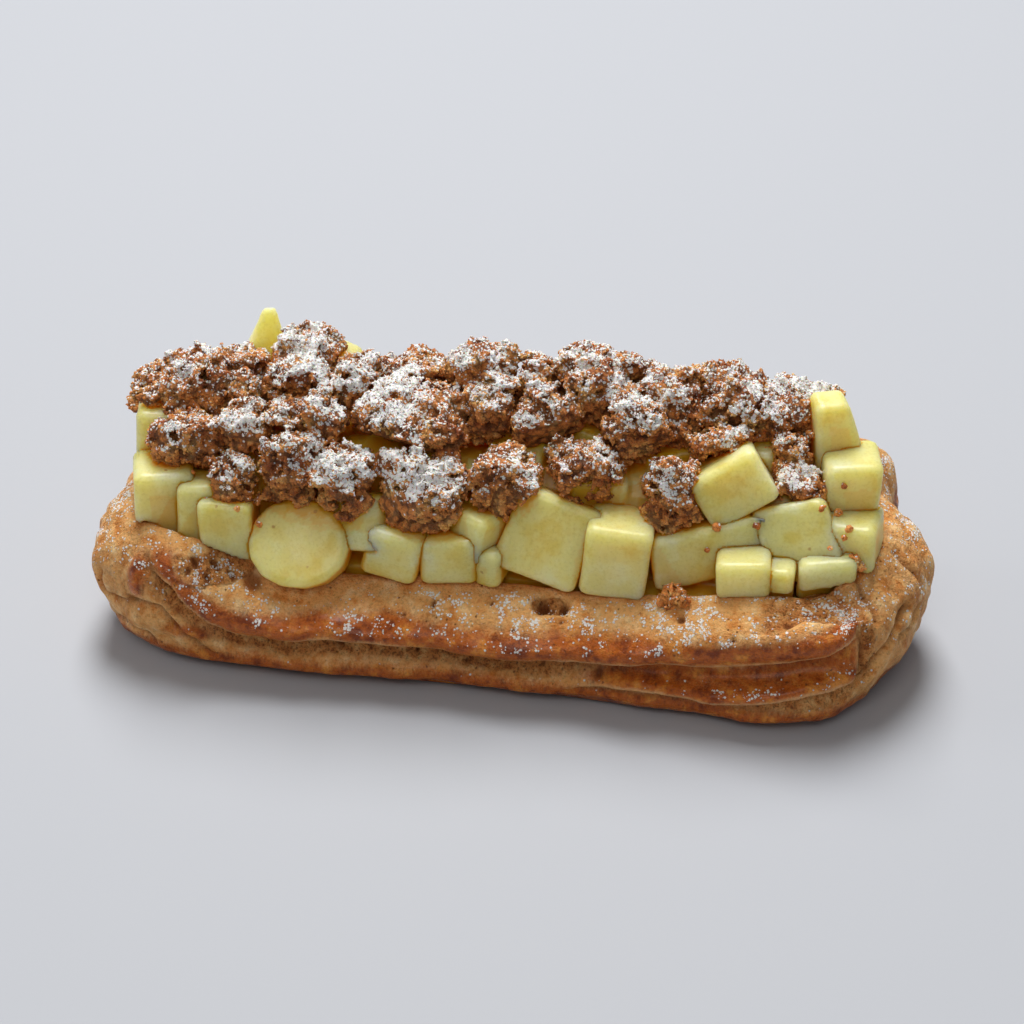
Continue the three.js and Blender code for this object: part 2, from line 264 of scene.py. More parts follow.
def run_tree(piece, tree, values):
    """Puts a geometry tree on a piece with its inputs set by name, and settles the result."""
    modifier = piece.modifiers.new(tree.name, "NODES")
    modifier.node_group = tree
    for item in tree.interface.items_tree:
        if item.in_out == "INPUT" and item.name in values:
            modifier[item.identifier] = values[item.name]
    settle(piece)


def use_group(tree, group, inputs):
    return add(tree, "ShaderNodeGroup", inputs, node_tree=group).outputs


def store(tree, geometry, name, value, domain="POINT"):
    """The geometry with a number stored on it by that name."""
    inputs = {"Geometry": geometry, "Name": name, "Value": value}
    return add(tree, "GeometryNodeStoreNamedAttribute", inputs, data_type="FLOAT", domain=domain).outputs[0]


def jogged(tree, geometry, noise_inputs, *factors):
    """The geometry with its points moved by noise, times all the factors."""
    noisy = add(tree, "ShaderNodeTexNoise", noise_inputs).outputs["Color"]
    jog = vectors(tree, "SUBTRACT", noisy, (0.5, 0.5, 0.5))
    for factor in factors:
        jog = scaled(tree, jog, factor)
    return add(tree, "GeometryNodeSetPosition", {"Geometry": geometry, "Offset": jog}).outputs[0]


def end_tree(tree, out, geometry, material=None):
    """Ends a geometry tree: the shape, shaded smooth, in its material if one is given."""
    last = add(tree, "GeometryNodeSetShadeSmooth", {"Geometry": geometry}).outputs[0]
    if material is not None:
        last = add(tree, "GeometryNodeSetMaterial", {"Geometry": last, "Material": material}).outputs[0]
    tree.links.new(last, out["Geometry"])


def face_count(pieces):
    return sum(len(piece.data.polygons) for piece in pieces)


# %% [markdown]
# ## The choux bun: its lines
#
# A choux bun splits as it bakes. Its crust ends in a rounded ridge, and under the ridge the stretched crumb
# shows as a pale band. The lines of the ridges are given as heights along the front. The broad end has a
# second, lower ridge. Creases, hollows, pores and lumps are given by their places. The back gets the same
# marks, turned half a turn, so it is finished like the front.

# %% Lines of the bun
BUN_MIDDLE = (0.0, -2.4)
UPPER_RIDGE = [
    (-60, 20.5), (-55, 18.4), (-52, 15), (-48, 11.9), (-43, 10), (-36, 9.8), (-28, 10.7), (-18, 10.8),
    (-6, 9.9), (4, 9.7), (14, 10.8), (28, 12), (40, 12.8), (50, 14.5), (56, 16.2), (61, 19),
]
LOWER_RIDGE = [
    (10, 3.6), (18, 5.2), (28, 6.3), (37, 5.9), (44, 6.9), (51, 8.1), (56, 8.9), (61, 9.8), (66, 10.6),
]
FLAP_EDGE = [
    (42, 18.2), (45, 19.6), (48, 19.9), (52, 21.3), (56, 20.9), (60, 20.3), (63, 20.2),
]

# Hollows and pores as (x, y, z, half width, half height, depth).
DENTS = [
    (-50.9, -22.2, 21.6, 0.7, 1.6, 1.9), (-51.9, -23.5, 20.4, 0.5, 0.8, 1.2),
    (-47.5, -20.8, 21.2, 0.9, 1.6, 1.8), (-41.3, -21.2, 18.6, 1.9, 2.3, 1.5),
    (-44.6, -21.4, 19.6, 0.6, 1.4, 1.2), (-49.0, -22.6, 18.6, 0.5, 1.3, 0.9),
    (7.6, -19.2, 17.4, 1.3, 1.7, 2.4), (11.2, -19.5, 17.7, 0.8, 1.4, 2.0),
    (9.4, -19.6, 16.6, 0.5, 0.8, 1.2), (61.0, 3.4, 23.8, 0.8, 2.0, 1.8), (60.2, 15.8, 29.0, 0.9, 0.9, 1.7),
    (63.5, 15.9, 22.6, 1.2, 0.8, 1.4), (-26.2, -24.0, 7.8, 0.75, 0.8, 1.6),
    (-10.7, -20.4, 16.6, 0.45, 0.9, 1.3), (-15.3, -22.3, 15.1, 0.4, 0.4, 0.8),
    (-8.1, -23.0, 7.5, 0.7, 0.7, 1.5), (-5.7, -22.8, 7.5, 0.55, 0.8, 1.4),
    (-13.2, -23.0, 7.1, 0.4, 0.5, 0.9), (-4.7, -22.8, 6.1, 0.4, 0.5, 0.8),
    (17.6, -24.1, 6.9, 0.8, 0.8, 1.4), (7.9, -23.5, 7.3, 0.45, 0.4, 0.8),
    (14.2, -23.8, 8.0, 0.45, 0.4, 0.8), (3.5, -23.5, 14.6, 0.4, 0.4, 0.8),
    (-0.8, -19.6, 17.1, 0.4, 0.4, 0.8), (11.2, -21.9, 16.2, 0.4, 0.4, 0.8),
    (31.2, -21.4, 18.8, 0.8, 0.8, 1.4), (30.0, -17.4, 20.3, 0.7, 0.8, 1.2),
    (40.3, -25.4, 18.2, 0.4, 0.4, 0.8), (61.3, -14.6, 22.4, 0.4, 0.4, 0.8),
    (49.0, -22.3, 20.6, 1.0, 0.7, 0.9),
]
# Lumps as (x, y, z, half width, half height, rise). The first two are well browned.
LUMPS = [
    (-60.8, -22.8, 18.2, 1.9, 4.2, 1.1), (-51.8, -24.4, 8.6, 4.2, 1.7, 0.8),
    (-61.5, -22.5, 9.2, 3.4, 2.6, 0.9), (66.0, -14.0, 10.0, 4.0, 3.4, 0.9),
    (66.5, -9.0, 19.5, 3.0, 2.6, 0.8), (-66.5, -14.5, 14.0, 3.0, 4.0, 0.8),
]
BROWN_LUMPS = LUMPS[:2]
# Torn places where stretched crumb shows, as (x, y, z, half width, half height).
TORN = [
    (-48, -21.5, 20.0, 7.5, 3.0), (9, -19.2, 17.8, 4.0, 1.8), (62.4, -20.4, 14.5, 1.5, 6.5),
    (53, -21.0, 21.8, 8.0, 1.2),
]
# Creases as (half width, depth, the places they pass).
CREASES = [
    (0.8, 1.3, [(-62.8, -21.9, 12.6), (-59.8, -23.5, 13.0), (-57.1, -24.5, 12.8), (-54.8, -24.1, 9.3)]),
    (0.8, 1.1, [(-54.8, -24.1, 9.3), (-51.9, -24.1, 7.0), (-50.5, -23.8, 5.0), (-48.5, -24.0, 3.7)]),
    (0.7, 0.9, [(-68.2, -18.6, 15.3), (-67.6, -17.9, 10.9), (-64.6, -20.5, 11.1), (-62.0, -22.3, 12.3)]),
    (0.7, 0.8, [(-66.6, -17.6, 5.4), (-63.1, -21.0, 6.4), (-60.1, -22.2, 5.9), (-59.1, -22.4, 4.6)]),
    (0.9, 0.9, [(-59.3, -21.9, 21.7), (-58.2, -23.7, 19.9), (-56.6, -24.5, 18.0), (-54.8, -25.0, 16.9)]),
    (1.0, 1.8, [(68.5, -11.5, 18.5), (66.9, -14.5, 17.2), (66.5, -16.0, 15.3), (65.0, -17.8, 13.6),
                (63.6, -19.5, 11.8), (62.0, -21.0, 9.2)]),
    (0.7, 1.0, [(61.0, -21.2, 19.5), (61.6, -21.2, 16.5), (61.8, -20.9, 13.0), (61.4, -21.7, 10.4)]),
    (0.7, 0.9, [(65.1, -4.6, 24.4), (66.9, -5.4, 23.1), (69.1, -5.5, 20.7), (70.2, -5.5, 17.4)]),
    (0.7, 0.9, [(66.3, -1.6, 24.4), (68.3, -1.9, 23.1), (70.1, -1.9, 20.7), (70.9, -1.9, 17.0)]),
    (0.7, 0.9, [(70.4, -8.3, 16.3), (68.9, -11.1, 14.1), (67.4, -13.8, 13.9)]),
    (0.8, 0.8, [(58.8, -12.1, 24.2), (61.1, -14.6, 22.6), (62.5, -16.3, 21.1), (63.0, -17.8, 19.4)]),
]
# Where the marks of the front lie along the bun, as x where they start, are whole, fade and end.
RIDGE_STRETCH = (-61, -55, 59.5, 61.5)
BROAD_STRETCH = (8, 24, 60, 62)
FLAP_STRETCH = (42, 47, 60, 63)
LIFTED_STRETCH = (-52, -38, -22, -6)
print("marks of the bun:", len(CREASES), "creases,", len(DENTS), "hollows,", len(LUMPS), "lumps")


# %% [markdown]
# ## The choux bun: measuring along its skin
#
# A mark has to stay the same size on a steep flank as on a level top. So the distance to a mark is measured
# along the surface: sideways, upwards, and off the surface, which keeps a mark of the front off the back.

# %% Distances on the bun
NEAR_SURFACE = 6
LEAST_SIDE = 0.05


def stretch(x, ends):
    """One along a stretch of the bun, with a soft start and a soft end."""
    start, whole, fade, end = ends
    return smoothstep(x, start, whole) * (1 - smoothstep(x, fade, end))


def line_height(line, x):
    places, heights = zip(*line)
    return np.interp(x, places, heights)


def spread_from(points, normals, place):
    """How far points lie from a place along the surface: sideways, upwards and off the surface."""
    away = points - place
    side = np.column_stack((-normals[:, 1], normals[:, 0], np.zeros(len(points))))
    side[np.linalg.norm(side, axis=1) < LEAST_SIDE] = (1, 0, 0)
    side /= np.linalg.norm(side, axis=1, keepdims=True)
    rise = np.cross(normals, side)
    return [np.einsum("ij,ij->i", away, way) for way in (side, rise, normals)]


def near(points, normals, place, half_width, half_height):
    """One at the place, falling to none outside an oval of that half width and half height."""
    across, upright, off = spread_from(points, normals, place)
    oval = np.exp(-((across / half_width) ** 2 + (upright / half_height) ** 2))
    return oval * (np.abs(off) < NEAR_SURFACE)


def near_line(points, normals, places, half_width):
    """One on a line through the places, falling to none beyond its half width."""
    share = np.zeros(len(points))
    for first, last in zip(places, places[1:]):
        first, run = np.array(first), np.subtract(last, first)
        along = np.clip((points - first) @ run / (run @ run), 0, 1)
        away = points - first - along[:, None] * run
        off = np.einsum("ij,ij->i", away, normals)
        distance = np.sqrt(np.maximum(np.einsum("ij,ij->i", away, away) - off ** 2, 0))
        closeness = np.exp(-(distance / half_width) ** 2) * (np.abs(off) < NEAR_SURFACE)
        share = np.maximum(share, closeness)
    return share


# %% [markdown]
# ## The choux bun: its ridges
#
# Under a ridge the crust steps back sharply, and above it the crust bulges into a rounded lip. The even
# points of a voxel mesh would make that step soft. So the points near a ridge line are first slid towards
# the line, and only then moved in or out.

# %% Ridges of the bun
STEP_DEPTH = 2.0
LOWER_STEP_DEPTH = 1.7
STEP_START = (-0.03, 0.16)
# How far below its line each step is whole, and where it has faded out.
UPPER_FADE, LOWER_FADE, FLAP_FADE = (1.4, 6.2), (1.2, 5.0), (1.6, 3.6)
UPPER_CRUMB_FADE, LOWER_CRUMB_FADE = (2.6, 6.5), (2.5, 5.0)
LIP_RISE = 0.6
LIP_REACH = 1.6
LIP_END = 0.4
UPPER_LIP, LOWER_LIP = 3.2, 2.6
UPPER_BROWN, LOWER_BROWN = 4.6, 3.0
PALE_LIP = 0.4
BAND_DEPTH = 0.3
FLAP_DEPTH = 1.2
CROWDING = 0.75
CROWDED_TO = (59.5, 62)
LEVEL = 0.98
FLANK, FOLDED_FLANK = 0.85, 0.8
LINE_WAVES = [(0.5, 8, 4.1), (0.14, 1.8, 1.1)]


def steepness(normals, low):
    """One on the flanks of the bun, and none where it is level."""
    return 1 - smoothstep(np.abs(normals[:, 2]), low, LEVEL)


def ridge_distances(points):
    """How far points lie below the two ridge lines and above the flap's edge, all a little uneven."""
    wander = waves(points * (1, 1, 0), LINE_WAVES)
    x, z = points[:, 0], points[:, 2]
    upper, lower = (line_height(line, x) + wander - z for line in (UPPER_RIDGE, LOWER_RIDGE))
    return upper, lower, z - line_height(FLAP_EDGE, x) - wander


def crowd_to_ridges(points, normals):
    """Slides the points near a ridge line up or down towards it, so that the step there can be sharp."""
    x = points[:, 0]
    upper, lower, _ = ridge_distances(points)
    slide = np.zeros(len(points))
    for distance, (start, whole, *_) in ((upper, RIDGE_STRETCH), (lower, BROAD_STRETCH)):
        closeness = (1 - smoothstep(np.abs(distance), 0, LIP_REACH)) * smoothstep(x, start, whole)
        slide += CROWDING * distance * (closeness * (1 - smoothstep(x, *CROWDED_TO)))
    return slide * steepness(normals, FLANK)


def step_below(line_distance, fade_from, fade_to):
    """One just below a ridge line, with a sharp start at the line and a slow end."""
    return smoothstep(line_distance, *STEP_START) * (1 - smoothstep(line_distance, fade_from, fade_to))


def lip_above(line_distance, height):
    """One in the rounded lip just above a ridge line."""
    return np.exp(-((line_distance + 0.5 * height) / (0.5 * height)) ** 2) * (line_distance < LIP_END)


def ridge_marks(points, normals):
    """What the ridges and the flap do on the front: the move, the crumb, the browning and the pale edge."""
    x = points[:, 0]
    steep = steepness(normals, FLANK)
    upper, lower, flap = ridge_distances(points)
    along, broad = stretch(x, RIDGE_STRETCH) * steep, stretch(x, BROAD_STRETCH) * steep
    torn_off = stretch(x, FLAP_STRETCH) * step_below(flap, *FLAP_FADE)
    between = broad * smoothstep(upper, 0.2, 1.4) * (1 - smoothstep(lower, -2.6, -0.8))
    upper_step, lower_step = step_below(upper, *UPPER_FADE), step_below(lower, *LOWER_FADE)
    move = along * (LIP_RISE * lip_above(upper, UPPER_LIP) - STEP_DEPTH * upper_step)
    move += broad * (LIP_RISE * lip_above(lower, LOWER_LIP) - LOWER_STEP_DEPTH * lower_step)
    move -= BAND_DEPTH * between + FLAP_DEPTH * torn_off
    upper_crumb = along * step_below(upper, *UPPER_CRUMB_FADE) * (1 - 0.75 * broad)
    crumb = upper_crumb + broad * step_below(lower, *LOWER_CRUMB_FADE) + 0.7 * torn_off
    brown = np.maximum(along * lip_above(upper, UPPER_BROWN), broad * lip_above(lower, LOWER_BROWN))
    pale_edge = np.maximum(along * lip_above(upper, PALE_LIP), broad * lip_above(lower, PALE_LIP))
    return move, crumb, np.maximum(brown, 0.7 * between), pale_edge


# %% [markdown]
# ## The choux bun: creases, lumps and hollows
#
# These are the marks with places of their own. Where the crust tore, the crumb shows as upright strands:
# noise that is stretched upwards and folded at zero, which gives thin ribs.

# %% Placed marks of the bun
CREASE_SHADE = 0.55
TORN_EDGE = (0.25, 0.6)
TORN_RAGGED = (0.2, 2.5, 7.7)
TORN_DEPTH = 0.1


def placed_marks(points, normals):
    """What the creases, lumps, torn places, hollows and pores do on the front."""
    move, pits = np.zeros(len(points)), np.zeros(len(points))
    for half_width, depth, places in CREASES:
        crease = near_line(points, normals, places, half_width)
        move -= depth * crease
        # Creases also get painted shade in the crust's colour.
        pits = np.maximum(pits, CREASE_SHADE * crease)
    for *place, half_width, half_height, rise in LUMPS:
        move += rise * near(points, normals, place, half_width, half_height)
    for *place, half_width, half_height, depth in DENTS:
        dent = near(points, normals, place, half_width, half_height)
        move -= depth * dent
        # Hollows also get painted shade in the crust's colour.
        pits = np.maximum(pits, dent)
    torn = np.max([near(points, normals, place[:3], *place[3:]) for place in TORN], axis=0)
    torn = smoothstep(torn + waves(points, [TORN_RAGGED]), *TORN_EDGE)
    strands = np.abs(bumps(points * (1, 1, 0.25), 1.0, 9.1))
    move -= torn * (TORN_DEPTH + strands)
    brown = np.max([near(points, normals, place[:3], *place[3:5]) for place in BROWN_LUMPS], axis=0)
    return move, torn, brown, pits


def front_marks(points, normals):
    ridge_move, ridge_crumb, ridge_brown, pale_edge = ridge_marks(points, normals)
    placed_move, torn, lump_brown, pits = placed_marks(points, normals)
    crumb = np.clip(ridge_crumb + torn, 0, 1)
    brown = np.maximum(ridge_brown, lump_brown)
    lifted = stretch(points[:, 0], LIFTED_STRETCH)
    return np.array([ridge_move + placed_move, crumb, brown, pits, pale_edge, lifted])


# %% [markdown]
# ## The choux bun: its relief
#
# Every point moves along its normal by the sum of all marks, the swells of the crust and the flutes of the
# two ends. Near the floor the bun curls under. The measures also become attributes that the material reads:
# how brown the crust is, where the crumb shows, where creases and hollows get painted shade and where the
# pale edge runs.

# %% Relief of the bun
CHOUX_VOXEL = 0.52
CHOUX_ROUNDS = 14
SWELLS = [(0.4, 8, 0.0), (0.15, 2.8, 1.3), (0.06, 1.2, 3.9)]
ENDS_FROM = (54, 63)
FLUTE_DEPTH = 0.3
CRAG_DEPTH = 0.75
# Heights above the floor between which the relief, the curl, the crumb and the brown foot start or stop.
# The brown foot is partly the real browning of the base and partly painted shade.
RELIEF_FROM, CURL_TO, CRUMB_FROM, FOOT_BROWN_AND_SHADE = (0.3, 2.5), (0.2, 2.8), (2.5, 6.5), (2.2, 7.0)
UNDERCUT = 1.8
LIFTED_UNDERCUT = 1.6


def both_sides(measure, points, normals):
    """A measure of the front, which the back gets too, turned half a turn about the bun's middle."""
    middle, half_turn = np.array((*BUN_MIDDLE, 0.0)), (-1, -1, 1)
    turned = (points - middle) * half_turn + middle
    back = smoothstep(points[:, 1], BUN_MIDDLE[1] - 1, BUN_MIDDLE[1] + 1)
    return (1 - back) * measure(points, normals) + back * measure(turned, normals * half_turn)


def curl_under(normals, z, lifted):
    """How far points near the floor move in, which is more where the bun is lifted off it."""
    level = normals * (1, 1, 0)
    curl = (UNDERCUT + LIFTED_UNDERCUT * lifted) * (1 - smoothstep(z, *CURL_TO))
    curl *= smoothstep(np.linalg.norm(level, axis=1), 0.1, 0.6)
    return level * curl[:, None]


def shape_bun(bun):
    points, normals = read_mesh(bun)
    points[:, 2] += both_sides(crowd_to_ridges, points, normals)
    move, crumb, brown, pits, pale_edge, lifted = both_sides(front_marks, points, normals)
    x, _, z = points.T
    ends = smoothstep(np.abs(x), *ENDS_FROM)
    flutes = FLUTE_DEPTH * steepness(normals, FOLDED_FLANK) * bumps(points * (1, 1, 0.18), 1.7, 2.3)
    crags = np.abs(bumps(points, 4.2, 6.6))
    move += waves(points, SWELLS)
    move += ends * (flutes + CRAG_DEPTH * (crags - 0.3))
    shift = normals * (move * smoothstep(z, *RELIEF_FROM))[:, None]
    write_points(bun, points + shift - curl_under(normals, z, lifted))
    crumb = np.maximum(crumb * smoothstep(z, *CRUMB_FROM), 0.4 * ends * smoothstep(crags, 0.5, 0.1))
    # The foot is browned: partly the real browning of the base, partly painted shade low on the flanks.
    brown = np.maximum(brown, 0.95 * (1 - smoothstep(z, *FOOT_BROWN_AND_SHADE)))
    for name, values in (("crumb", crumb), ("brown", brown), ("pits", pits), ("edge", pale_edge)):
        write_values(bun, name, values)


choux_bun = remeshed_copy(CHOUX, "baked_choux_bun", CHOUX_VOXEL, CHOUX_ROUNDS)
shape_bun(choux_bun)
print("bun:", face_count([choux_bun]), "faces")

# %% [markdown]
# ## The apple
#
# Cooked apple dice keep flat cut faces and fairly crisp edges. A fine voxel copy that isn't smoothed gives
# just that. Only the round slice is smoothed: it was cut with a ring, so its rim is even. A slight wave
# over the faces is the mark of the knife and the cooking. Each piece swells by a hair, so that neighbours
# press on one another as soft fruit does. The bed under them keeps its size.

# %% Apple pieces
APPLE_VOXEL = 0.42
APPLE_ROUNDS = 0
APPLE_SWELL = 0.32
APPLE_WAVES = [(0.22, 7, 5.5), (0.05, 2.1, 0.9)]
ROUND_SLICE = "apple_piece_01"
ROUND_ROUNDS = 14


def apple_piece(node, swell):
    rounds = ROUND_ROUNDS if node == ROUND_SLICE else APPLE_ROUNDS
    piece = remeshed_copy(node, "cooked_" + node, APPLE_VOXEL, rounds)
    points, normals = read_mesh(piece)
    write_points(piece, points + normals * (waves(points, APPLE_WAVES) + swell)[:, None])
    return piece


apples = {node: apple_piece(node, APPLE_SWELL) for node in APPLE_PIECES}
apples[APPLE_BED] = apple_piece(APPLE_BED, 0.0)
print("apple:", len(apples), "pieces,", face_count(apples.values()), "faces")

# %% [markdown]
# ## The crumble: how deep a place lies
#
# A crumble piece is butter, flour and sugar rubbed together and baked, so it is full of hollows that go in
# under its surface. Moving points along their normals can't make those. The tree of the body works in space
# instead: it measures how deep each place lies in the solid, and lets patterns add to that depth or take
# from it. Noise makes lumps and hollows, blocks of a cell pattern make ledges like broken edges, and small
# cells make nodules. A few pieces broke with a smooth face, and some have a deep hole. These are cut in the
# same way.

# %% Depth in the crumble
def height_over(tree, solid, place):
    """How many millimetres a place lies outside the solid, which is less than none inside it."""
    skin = add(tree, "GeometryNodeProximity", {"Geometry": solid}, target_element="FACES").outputs
    normal = tree.nodes.new("GeometryNodeInputNormal").outputs[0]
    outward = add(tree, "GeometryNodeSampleNearestSurface", {"Mesh": solid, "Value": normal},
                  data_type="FLOAT_VECTOR").outputs[0]
    away = vectors(tree, "SUBTRACT", place, skin["Position"])
    side = reckon(tree, "SIGN", vectors(tree, "DOT_PRODUCT", away, outward))
    return reckon(tree, "MULTIPLY", side, in_millimetres(tree, skin["Distance"]))


def block_cells(tree, size):
    return add(tree, "ShaderNodeTexVoronoi", {"Scale": pattern_scale(tree, size)}, feature="F1").outputs


def crumbled(tree, given, height):
    """The depth with lumps, ledges and nodules added and hollows taken, and the painted shade of its nooks.
    """
    lumps = reckon(tree, "SUBTRACT", texture(tree, given["Lump Size"], 4.0, 0.6), 0.49)
    blocks = add(tree, "ShaderNodeSeparateXYZ", {0: block_cells(tree, given["Ledge Size"])["Color"]})
    ledges = reckon(tree, "SUBTRACT", blocks.outputs[0], 0.5)
    cells = block_cells(tree, given["Nodule Size"])["Distance"]
    nodules = reckon(tree, "SUBTRACT", 0.45, cells)
    hollows = ramp(tree, texture(tree, given["Hollow Size"], 3.0), 0.54, 0.66)
    gained = total(tree, (lumps, given["Lump Depth"]), (ledges, given["Ledge Depth"]),
                   (nodules, given["Nodule Depth"]))
    depth = reckon(tree, "SUBTRACT", gained, total(tree, height, (hollows, given["Hollow Depth"])))
    return depth, reckon(tree, "MAXIMUM", ramp(tree, cells, 0.42, 0.7), hollows)


def cut_away(tree, given, place, depth):
    """The depth, less where a smooth face or a hole cuts in."""
    wave = texture(tree, 2.5)
    along = in_millimetres(tree, vectors(tree, "DOT_PRODUCT", place, given["Cut Way"]))
    beyond = reckon(tree, "SUBTRACT", along, given["Cut Distance"])
    depth = reckon(tree, "MINIMUM", depth, total(tree, (beyond, -1.0), (wave, 0.8)))
    hole_place = scaled(tree, given["Hole Place"], MM)
    from_hole = in_millimetres(tree, vectors(tree, "DISTANCE", place, hole_place))
    hole = reckon(tree, "SUBTRACT", from_hole, given["Hole Radius"])
    return reckon(tree, "MINIMUM", depth, total(tree, hole, (wave, 3.0), -1.5))


# %% [markdown]
# ## The crumble: its body
#
# A grid of voxels holds the depth, and the skin is built where it is none. Bits that come loose are
# dropped. The nooks between the nodules and the hollows are stored, and the material darkens them with
# painted shade.

# %% The tree of the crumble body
MARGIN = 1.8


def skin_of_depth(tree, solid, depth, voxel):
    """The skin where the depth is none, from a grid around the solid."""
    box = add(tree, "GeometryNodeBoundBox", {"Geometry": solid}).outputs
    low = vectors(tree, "SUBTRACT", box["Min"], (MARGIN * MM,) * 3)
    high = vectors(tree, "ADD", box["Max"], (MARGIN * MM,) * 3)
    span = scaled(tree, vectors(tree, "SUBTRACT", high, low), pattern_scale(tree, voxel))
    steps = add(tree, "ShaderNodeSeparateXYZ", {0: span}).outputs
    volume = add(tree, "GeometryNodeVolumeCube", {
        "Density": depth, "Background": -1.0, "Min": low, "Max": high,
        "Resolution X": steps[0], "Resolution Y": steps[1], "Resolution Z": steps[2]})
    return add(tree, "GeometryNodeVolumeToMesh", {"Volume": volume.outputs[0], "Threshold": 0.0}).outputs[0]


def without_bits(tree, geometry, fewest):
    """The geometry without the loose parts that have fewer points than that."""
    island = tree.nodes.new("GeometryNodeInputMeshIsland").outputs[0]
    count = add(tree, "GeometryNodeAccumulateField", {"Value": 1, "Group ID": island}, data_type="INT")
    few = add(tree, "FunctionNodeCompare", {2: count.outputs["Total"], 3: fewest},
              data_type="INT", operation="LESS_THAN").outputs[0]
    return add(tree, "GeometryNodeDeleteGeometry", {"Geometry": geometry, "Selection": few}).outputs[0]


def crumble_body_tree():
    tree, given, out = new_tree(
        "crumble_body", "GeometryNodeTree",
        [("Geometry", GEOMETRY), ("Voxel", NUMBER, 0.36),
         ("Lump Size", NUMBER, 3.2), ("Lump Depth", NUMBER, 2.0),
         ("Ledge Size", NUMBER, 3.6), ("Ledge Depth", NUMBER, 2.2),
         ("Nodule Size", NUMBER, 1.15), ("Nodule Depth", NUMBER, 1.3),
         ("Hollow Size", NUMBER, 2.4), ("Hollow Depth", NUMBER, 3.0),
         ("Cut Way", VECTOR), ("Cut Distance", NUMBER, 1000.0),
         ("Hole Place", VECTOR), ("Hole Radius", NUMBER, -1000.0), ("Fewest Points", WHOLE, 200)],
        [("Geometry", GEOMETRY)],
    )
    place = tree.nodes.new("GeometryNodeInputPosition").outputs[0]
    depth, nook = crumbled(tree, given, height_over(tree, given["Geometry"], place))
    depth = cut_away(tree, given, place, depth)
    skin = skin_of_depth(tree, given["Geometry"], depth, given["Voxel"])
    whole = without_bits(tree, skin, given["Fewest Points"])
    # The nooks are stored for the painted shade in the material.
    end_tree(tree, out, store(tree, whole, "nook", nook))
    return tree


# %% Crumble bodies
CRUMBLE_VOXEL = 0.5
CRUMBLE_ROUNDS = 1
# The smooth faces as the way they look and how deep they cut, and the holes as their place and radius.
SMOOTH_FACES = {
    "crumble_piece_02": ((0.35, -0.30, 0.89), 1.0), "crumble_piece_03": ((-0.55, -0.80, 0.25), 1.6),
    "crumble_piece_09": ((0.10, -0.55, 0.83), 0.9), "crumble_piece_11": ((0.20, -0.95, 0.22), 0.7),
    "crumble_piece_13": ((-0.20, -0.66, -0.72), 1.8), "crumble_piece_15": ((0.42, -0.84, -0.34), 1.8),
    "crumble_piece_24": ((0.30, 0.90, 0.30), 1.4), "crumble_piece_27": ((-0.40, 0.85, -0.35), 1.4),
}
HOLES = {
    "crumble_piece_02": ((-0.5, -13.6, 34.6), 1.5), "crumble_piece_04": ((-27.0, -15.5, 33.0), 1.3),
    "crumble_piece_26": ((5.0, 18.0, 34.0), 1.5),
}
# The grains thin out from a little before a smooth face to a little past it.
BEFORE_FACE, PAST_FACE = 0.3, 0.1


def crumble_body(node, tree):
    """One crumble piece, with the share of grains to come stored on it as "grainy"."""
    piece = remeshed_copy(node, "baked_" + node, CRUMBLE_VOXEL, CRUMBLE_ROUNDS)
    values = {}
    if node in SMOOTH_FACES:
        way, depth = SMOOTH_FACES[node]
        way = np.array(way) / np.linalg.norm(way)
        reach = (read_mesh(piece)[0] @ way).max() - depth
        values.update({"Cut Way": tuple(way), "Cut Distance": reach})
    if node in HOLES:
        values.update(zip(("Hole Place", "Hole Radius"), HOLES[node]))
    run_tree(piece, tree, values)
    points, _ = read_mesh(piece)
    grainy = np.ones(len(points))
    if node in SMOOTH_FACES:
        grainy -= smoothstep(points @ way, reach - BEFORE_FACE, reach + PAST_FACE)
    write_values(piece, "grainy", grainy)
    return piece


CRUMBLE_BODY = crumble_body_tree()
crumbles = {node: crumble_body(node, CRUMBLE_BODY) for node in CRUMBLE_PIECES}
print("crumble bodies:", face_count(crumbles.values()), "faces")

# %% [markdown]
# ## What the sky reaches
#
# Icing sugar falls straight down, so it lies where nothing hangs over a place. A tree casts a few rays
# upwards from each point against all pieces together, and stores the share of them that escapes as "sky".
# The apple's material reads it too, to paint amber shade on flesh deep between the pieces.

# %% The sky tree
SKY_TILT = math.radians(30)
SKY_TURNS = 6


def sky_ways():
    """Straight up, and a ring of ways that lean outwards from there."""
    level, rise = math.sin(SKY_TILT), math.cos(SKY_TILT)
    turns = np.linspace(0, 2 * math.pi, SKY_TURNS, endpoint=False)
    return [(0.0, 0.0, 1.0), *[(level * math.cos(turn), level * math.sin(turn), rise) for turn in turns]]


def sky_tree():
    tree, given, out = new_tree(
        "sky_reach", "GeometryNodeTree",
        [("Geometry", GEOMETRY), ("Blockers", "NodeSocketObject"), ("Start", NUMBER, 0.3),
         ("Reach", NUMBER, 40.0)],
        [("Geometry", GEOMETRY)],
    )
    blockers = add(tree, "GeometryNodeObjectInfo", {"Object": given["Blockers"]}).outputs["Geometry"]
    place = tree.nodes.new("GeometryNodeInputPosition").outputs[0]
    normal = tree.nodes.new("GeometryNodeInputNormal").outputs[0]
    start = vectors(tree, "ADD", place, scaled(tree, normal, in_metres(tree, given["Start"])))
    reach = in_metres(tree, given["Reach"])
    ray = {"Target Geometry": blockers, "Source Position": start, "Ray Length": reach}
    ways = sky_ways()
    hits = [add(tree, "GeometryNodeRaycast", {**ray, "Ray Direction": way}).outputs["Is Hit"] for way in ways]
    share = reckon(tree, "SUBTRACT", 1.0, reckon(tree, "DIVIDE", total(tree, *hits), float(len(ways))))
    tree.links.new(store(tree, given["Geometry"], "sky", share), out["Geometry"])
    return tree


